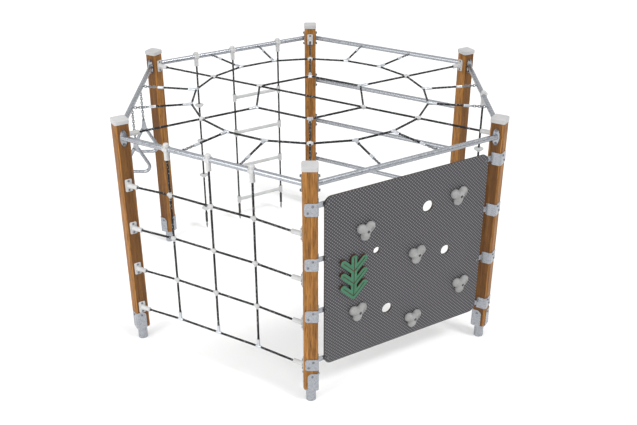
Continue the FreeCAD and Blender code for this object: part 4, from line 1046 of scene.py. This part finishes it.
PANEL_FACE = POST_CIRCLE * math.cos(math.radians(30)) + 0.028
PANEL_Z = 0.920
HOLDS = [(-0.348, 0.332), (0.081, 0.024), (0.413, 0.393), (0.491, -0.349), (-0.396, -0.290), (0.076, -0.507)]
KNOBS = [(38, 0.0400, 0.0345, 0.010), (154, 0.0410, 0.0345, 0.010), (260, 0.0410, 0.0345, 0.008)]


def hold_shape():
    """One hold on X = 0 that faces +X."""
    lumps = []
    for turn, reach, size, height in KNOBS:
        spot = polar(reach, turn)
        clear()
        bpy.ops.mesh.primitive_uv_sphere_add(segments=32, ring_count=16, radius=size,
                                             location=(height, spot.x, spot.y), scale=(0.72, 1, 1))
        lumps.append(settle(added("knob")))
        lumps.append(rod("neck", (height, 0, 0), (height, spot.x, spot.y), 0.0315, 24))
    hold = joined("hold", lumps)
    modify(hold, "REMESH", mode="VOXEL", voxel_size=0.0022)
    modify(hold, "SMOOTH", factor=0.6, iterations=22)
    choose(hold, "FACE", lambda f: True)
    bpy.ops.mesh.bisect(plane_co=(0, 0, 0), plane_no=(1, 0, 0), use_fill=True, clear_inner=True)
    bpy.ops.object.mode_set(mode="OBJECT")
    modify(hold, "DECIMATE", ratio=0.45)
    cut_or_join(hold, rod("recess", (0.0135, 0, 0), (0.060, 0, 0), 0.0115, 28), "DIFFERENCE")
    clear()
    bpy.ops.mesh.primitive_uv_sphere_add(segments=28, ring_count=14, radius=0.010,
                                         location=(0.037, 0.030, 0.020),
                                         rotation=(math.radians(38), 0, 0), scale=(0.8, 1.9, 1.0))
    return cut_or_join(hold, settle(added("pocket")), "DIFFERENCE")


def on_panel(along, up):
    return facing(side_point("front_right", along, PANEL_Z + up, PANEL_FACE), polar(1, SIDES["front_right"]))


holds = set_out("climbing_knobs", hold_shape(), [on_panel(along, up) for along, up in HOLDS])
fitted(smooth(holds, 50), "frame", ["climbing_holds"], "hold_plastic", hold_finish)

# %% [markdown]
# ## Oiled timber
# The posts are laminated: three boards, 33 mm thick, glued face to face, each with its own grain.
# The pattern is turned and centred on each post, so its boards are square to its faces. Long
# noise gives the grain, a distorted wave its figure, and fine dark dashes its open pores.

# %% Oiled timber
def timber(post, angle):
    made, tree, shader = finish_named("oiled_timber_" + post, roughness=0.5, Specular_IOR_Level=0.22)
    turn = (0, 0, math.radians(-angle))
    at = place_on(tree, (-POST_CIRCLE, 0, 0), turn)
    split = add(tree, "SeparateXYZ", {"Vector": at})
    board = maths(tree, "FLOOR", maths(tree, "MULTIPLY_ADD", split.outputs["Y"], 30.0, 0.5))
    shift = maths(tree, "MULTIPLY_ADD", board, 3.7, angle * 0.173)
    long_at = add(tree, "CombineXYZ",
                  {"X": maths(tree, "ADD", split.outputs["X"], shift), "Y": split.outputs["Y"],
                                       "Z": maths(tree, "MULTIPLY", split.outputs["Z"], 0.055)}).outputs[0]
    grain = noise(tree, long_at, 95, 8, 0.62, 0.25)
    broad = noise(tree, long_at, 22, 3, 0.5, 0.6)
    figure = add(tree, "TexWave", {"Vector": long_at, "Scale": 11.0, "Distortion": 7.0, "Detail": 3.0,
                                   "Detail Scale": 1.6}, wave_type="BANDS",
                                   bands_direction="DIAGONAL").outputs["Fac"]
    pore_at = add(tree, "CombineXYZ", {"X": split.outputs["X"], "Y": split.outputs["Y"],
                                       "Z": maths(tree, "MULTIPLY", split.outputs["Z"], 0.035)}).outputs[0]
    pores = ramp(tree, noise(tree, pore_at, 330, 2, 0.5), (0.55, 0.0), (0.64, 1.0))
    colour = ramp(tree, grain, (0.30, (0.140, 0.052, 0.010)), (0.48, (0.350, 0.152, 0.034)),
                  (0.72, (0.530, 0.255, 0.065)))
    colour = mix(tree, maths(tree, "MULTIPLY", figure, 0.42), colour, (0.215, 0.084, 0.015))
    colour = mix(tree, ramp(tree, broad, (0.42, 0.0), (0.64, 0.65)), colour, (0.105, 0.040, 0.010))
    tint = add(tree, "TexWhiteNoise", {"W": shift}, noise_dimensions="1D").outputs["Value"]
    colour = mix(tree, maths(tree, "MULTIPLY", tint, 0.30), colour, (0.50, 0.235, 0.052))
    colour = mix(tree, maths(tree, "MULTIPLY", pores, 0.75), colour, (0.055, 0.021, 0.007))
    seam = maths(tree, "ABSOLUTE", maths(
        tree, "SUBTRACT", maths(tree, "FRACT", maths(tree, "MULTIPLY_ADD", split.outputs["Y"], 30.0, 0.5)),
        0.5))
    seam = ramp(tree, seam, (0.485, 0.0), (0.497, 1.0))
    colour = mix(tree, maths(tree, "MULTIPLY", seam, 0.6), colour, (0.070, 0.028, 0.010))
    wire(tree, colour, shader, "Base Color")
    wire(tree, maths(tree, "MULTIPLY_ADD", grain, 0.28, 0.38), shader, "Roughness")
    height = maths(tree, "SUBTRACT", grain, maths(tree, "MULTIPLY", maths(tree, "MAXIMUM", pores, seam), 0.8))
    raised(tree, shader, height, 0.0007, 0.75)
    return made


for post, angle in POSTS.items():
    dress(["post_" + post], timber(post, angle))

# %% [markdown]
# ## Anti-slip panel
# The panel is a film-faced board whose film is pressed with a wire mesh at 45 degrees. Its raised
# crossings are painted pale over a dark ground, as painted highlights where they catch the light, and the
# sawn edge is sealed dark brown. The pattern is turned to the panel, so that X runs along it, and depth is read from
# its normal.

# %% Anti-slip panel
board, tree, shader = finish_named("anti_slip_film", roughness=0.45)
turn = (0, 0, math.radians(-SIDES["front_right"]))
at = place_on(tree, (0, 0, 0), turn)
split = add(tree, "SeparateXYZ", {"Vector": at})
across, upward = split.outputs["Y"], split.outputs["Z"]
MESH = 0.0181
k = math.pi / (MESH * math.sqrt(2))


def rib(sign):
    phase = maths(tree, "MULTIPLY_ADD", upward, sign * k, maths(tree, "MULTIPLY", across, k))
    return maths(tree, "ABSOLUTE", maths(tree, "SINE", phase))


first_rib, second_rib = rib(1), rib(-1)
crossing = maths(tree, "MULTIPLY", first_rib, second_rib)
mesh_height = maths(tree, "MAXIMUM", maths(tree, "POWER", first_rib, 3.0),
                    maths(tree, "POWER", second_rib, 3.0))
# painted highlights: the mesh crossings are coloured pale where the raised wire pattern would catch the light
film_and_painted_highlights = ramp(tree, crossing, (0.20, (0.026, 0.025, 0.029)), (0.55, (0.046, 0.045, 0.051)),
                   (0.92, (0.235, 0.23, 0.245)))
wear = noise(tree, at, 7, 5)
film_and_painted_highlights = mix(tree, maths(tree, "MULTIPLY", wear, 0.22), film_and_painted_highlights, (0.085, 0.083, 0.09))
depth = maths(tree, "SUBTRACT", split.outputs["X"], PANEL_FACE - 0.0075)
on_face = maths(tree, "GREATER_THAN", maths(tree, "ABSOLUTE", depth), 0.0072)
edge_colour = ramp(tree, noise(tree, at, 90, 5), (0.3, (0.020, 0.013, 0.009)), (0.7, (0.055, 0.038, 0.026)))
wire(tree, mix(tree, on_face, edge_colour, film_and_painted_highlights), shader, "Base Color")
wire(tree, maths(tree, "MULTIPLY_ADD", crossing, -0.12, 0.50), shader, "Roughness")
raised(tree, shader, maths(tree, "MULTIPLY", mesh_height, on_face), 0.0009, 0.8)
dress(["climbing_panel"], board)

# %% [markdown]
# ## Leaf
# The leaf is cut from board that is green on its face and red-brown inside, so its edges and its
# engraved veins show the core. Depth below the face picks the colour, and the face keeps a fine
# orange-peel texture.

# %% Leaf
leaf, tree, shader = finish_named("two_colour_board", roughness=0.4)
at = place_on(tree, (0, 0, 0), turn)
split = add(tree, "SeparateXYZ", {"Vector": at})
on_face = maths(tree, "GREATER_THAN", split.outputs["X"], PANEL_FACE + 0.018 - 0.0006)
peel = noise(tree, at, 700, 2)
green = ramp(tree, noise(tree, at, 26, 5), (0.3, (0.020, 0.135, 0.066)), (0.7, (0.038, 0.190, 0.098)))
core = ramp(tree, noise(tree, at, 120, 4), (0.3, (0.045, 0.016, 0.010)), (0.7, (0.105, 0.038, 0.022)))
wire(tree, mix(tree, on_face, core, green), shader, "Base Color")
wire(tree, maths(tree, "MULTIPLY_ADD", peel, 0.22, 0.30), shader, "Roughness")
raised(tree, shader, peel, 0.00025, 0.6)
dress(["leaf_plate"], leaf)

# %% [markdown]
# ## Floor and light
# A plain pale floor and a white surround stand for a studio. A wide sun high on the right in
# front gives the soft shadows that fall back to the left, and a weak light fills from the left.
# The surround is darker near the ground, so that round metal shows a darker edge.

# %% Floor and light
clear()
bpy.ops.mesh.primitive_plane_add(size=60, location=(0, 0, -0.0005))
floor = added("studio_floor")
paper, tree, shader = finish_named("pale_paper", roughness=0.9)
paper_tone = ramp(tree, noise(tree, place_on(tree), 3, 3), (0.0, (0.95, 0.95, 0.95)),
                  (1.0, (0.97, 0.97, 0.97)))
wire(tree, paper_tone, shader, "Base Color")
floor.data.materials.append(paper)
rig.stage(floor)


def soft_light(name, location, target, size, watts):
    way = Vector(target) - Vector(location)
    clear()
    bpy.ops.object.light_add(type="AREA", location=location, rotation=way.to_track_quat("-Z", "Y").to_euler())
    light = added(name)
    light.data.shape = "DISK"
    light.data.size = size
    light.data.energy = watts


soft_light("fill_light", (-4.5, -4.5, 4.0), (0, 0, 0.8), 4.0, 170)
clear()
bpy.ops.object.light_add(type="SUN", location=(3.6, -2.4, 6.2),
                         rotation=Vector((-3.6, 2.4, -6.2)).to_track_quat("-Z", "Y").to_euler())
sun = added("key_light")
sun.data.energy = 1.05
sun.data.angle = math.radians(14)
world = bpy.data.worlds.new("white_surround")
world.use_nodes = True
tree = world.node_tree
height = add(tree, "SeparateXYZ", {"Vector": add(tree, "TexCoord").outputs["Generated"]}).outputs["Z"]
sky = ramp(tree, height, (0.0, 0.58), (0.9, 1.0))
tree.links.new(sky, tree.nodes["Background"].inputs["Color"])
bpy.context.scene.world = world
bpy.context.scene.view_settings.view_transform = "Standard"
print("stage ready")

# %% [markdown]
# ## Measure and finish
# The looks must not change the size, so the shown object's box is written next to the frame's.

# %% Measure and finish
look_box = [list(corner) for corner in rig.bounds()]
with open("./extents.json", "w") as note:
    json.dump({"cad_box": cad_box, "look_box": look_box}, note)
print("shown box", look_box, "triangles", sum(triangles(p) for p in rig.pieces() if p.type == "MESH"))
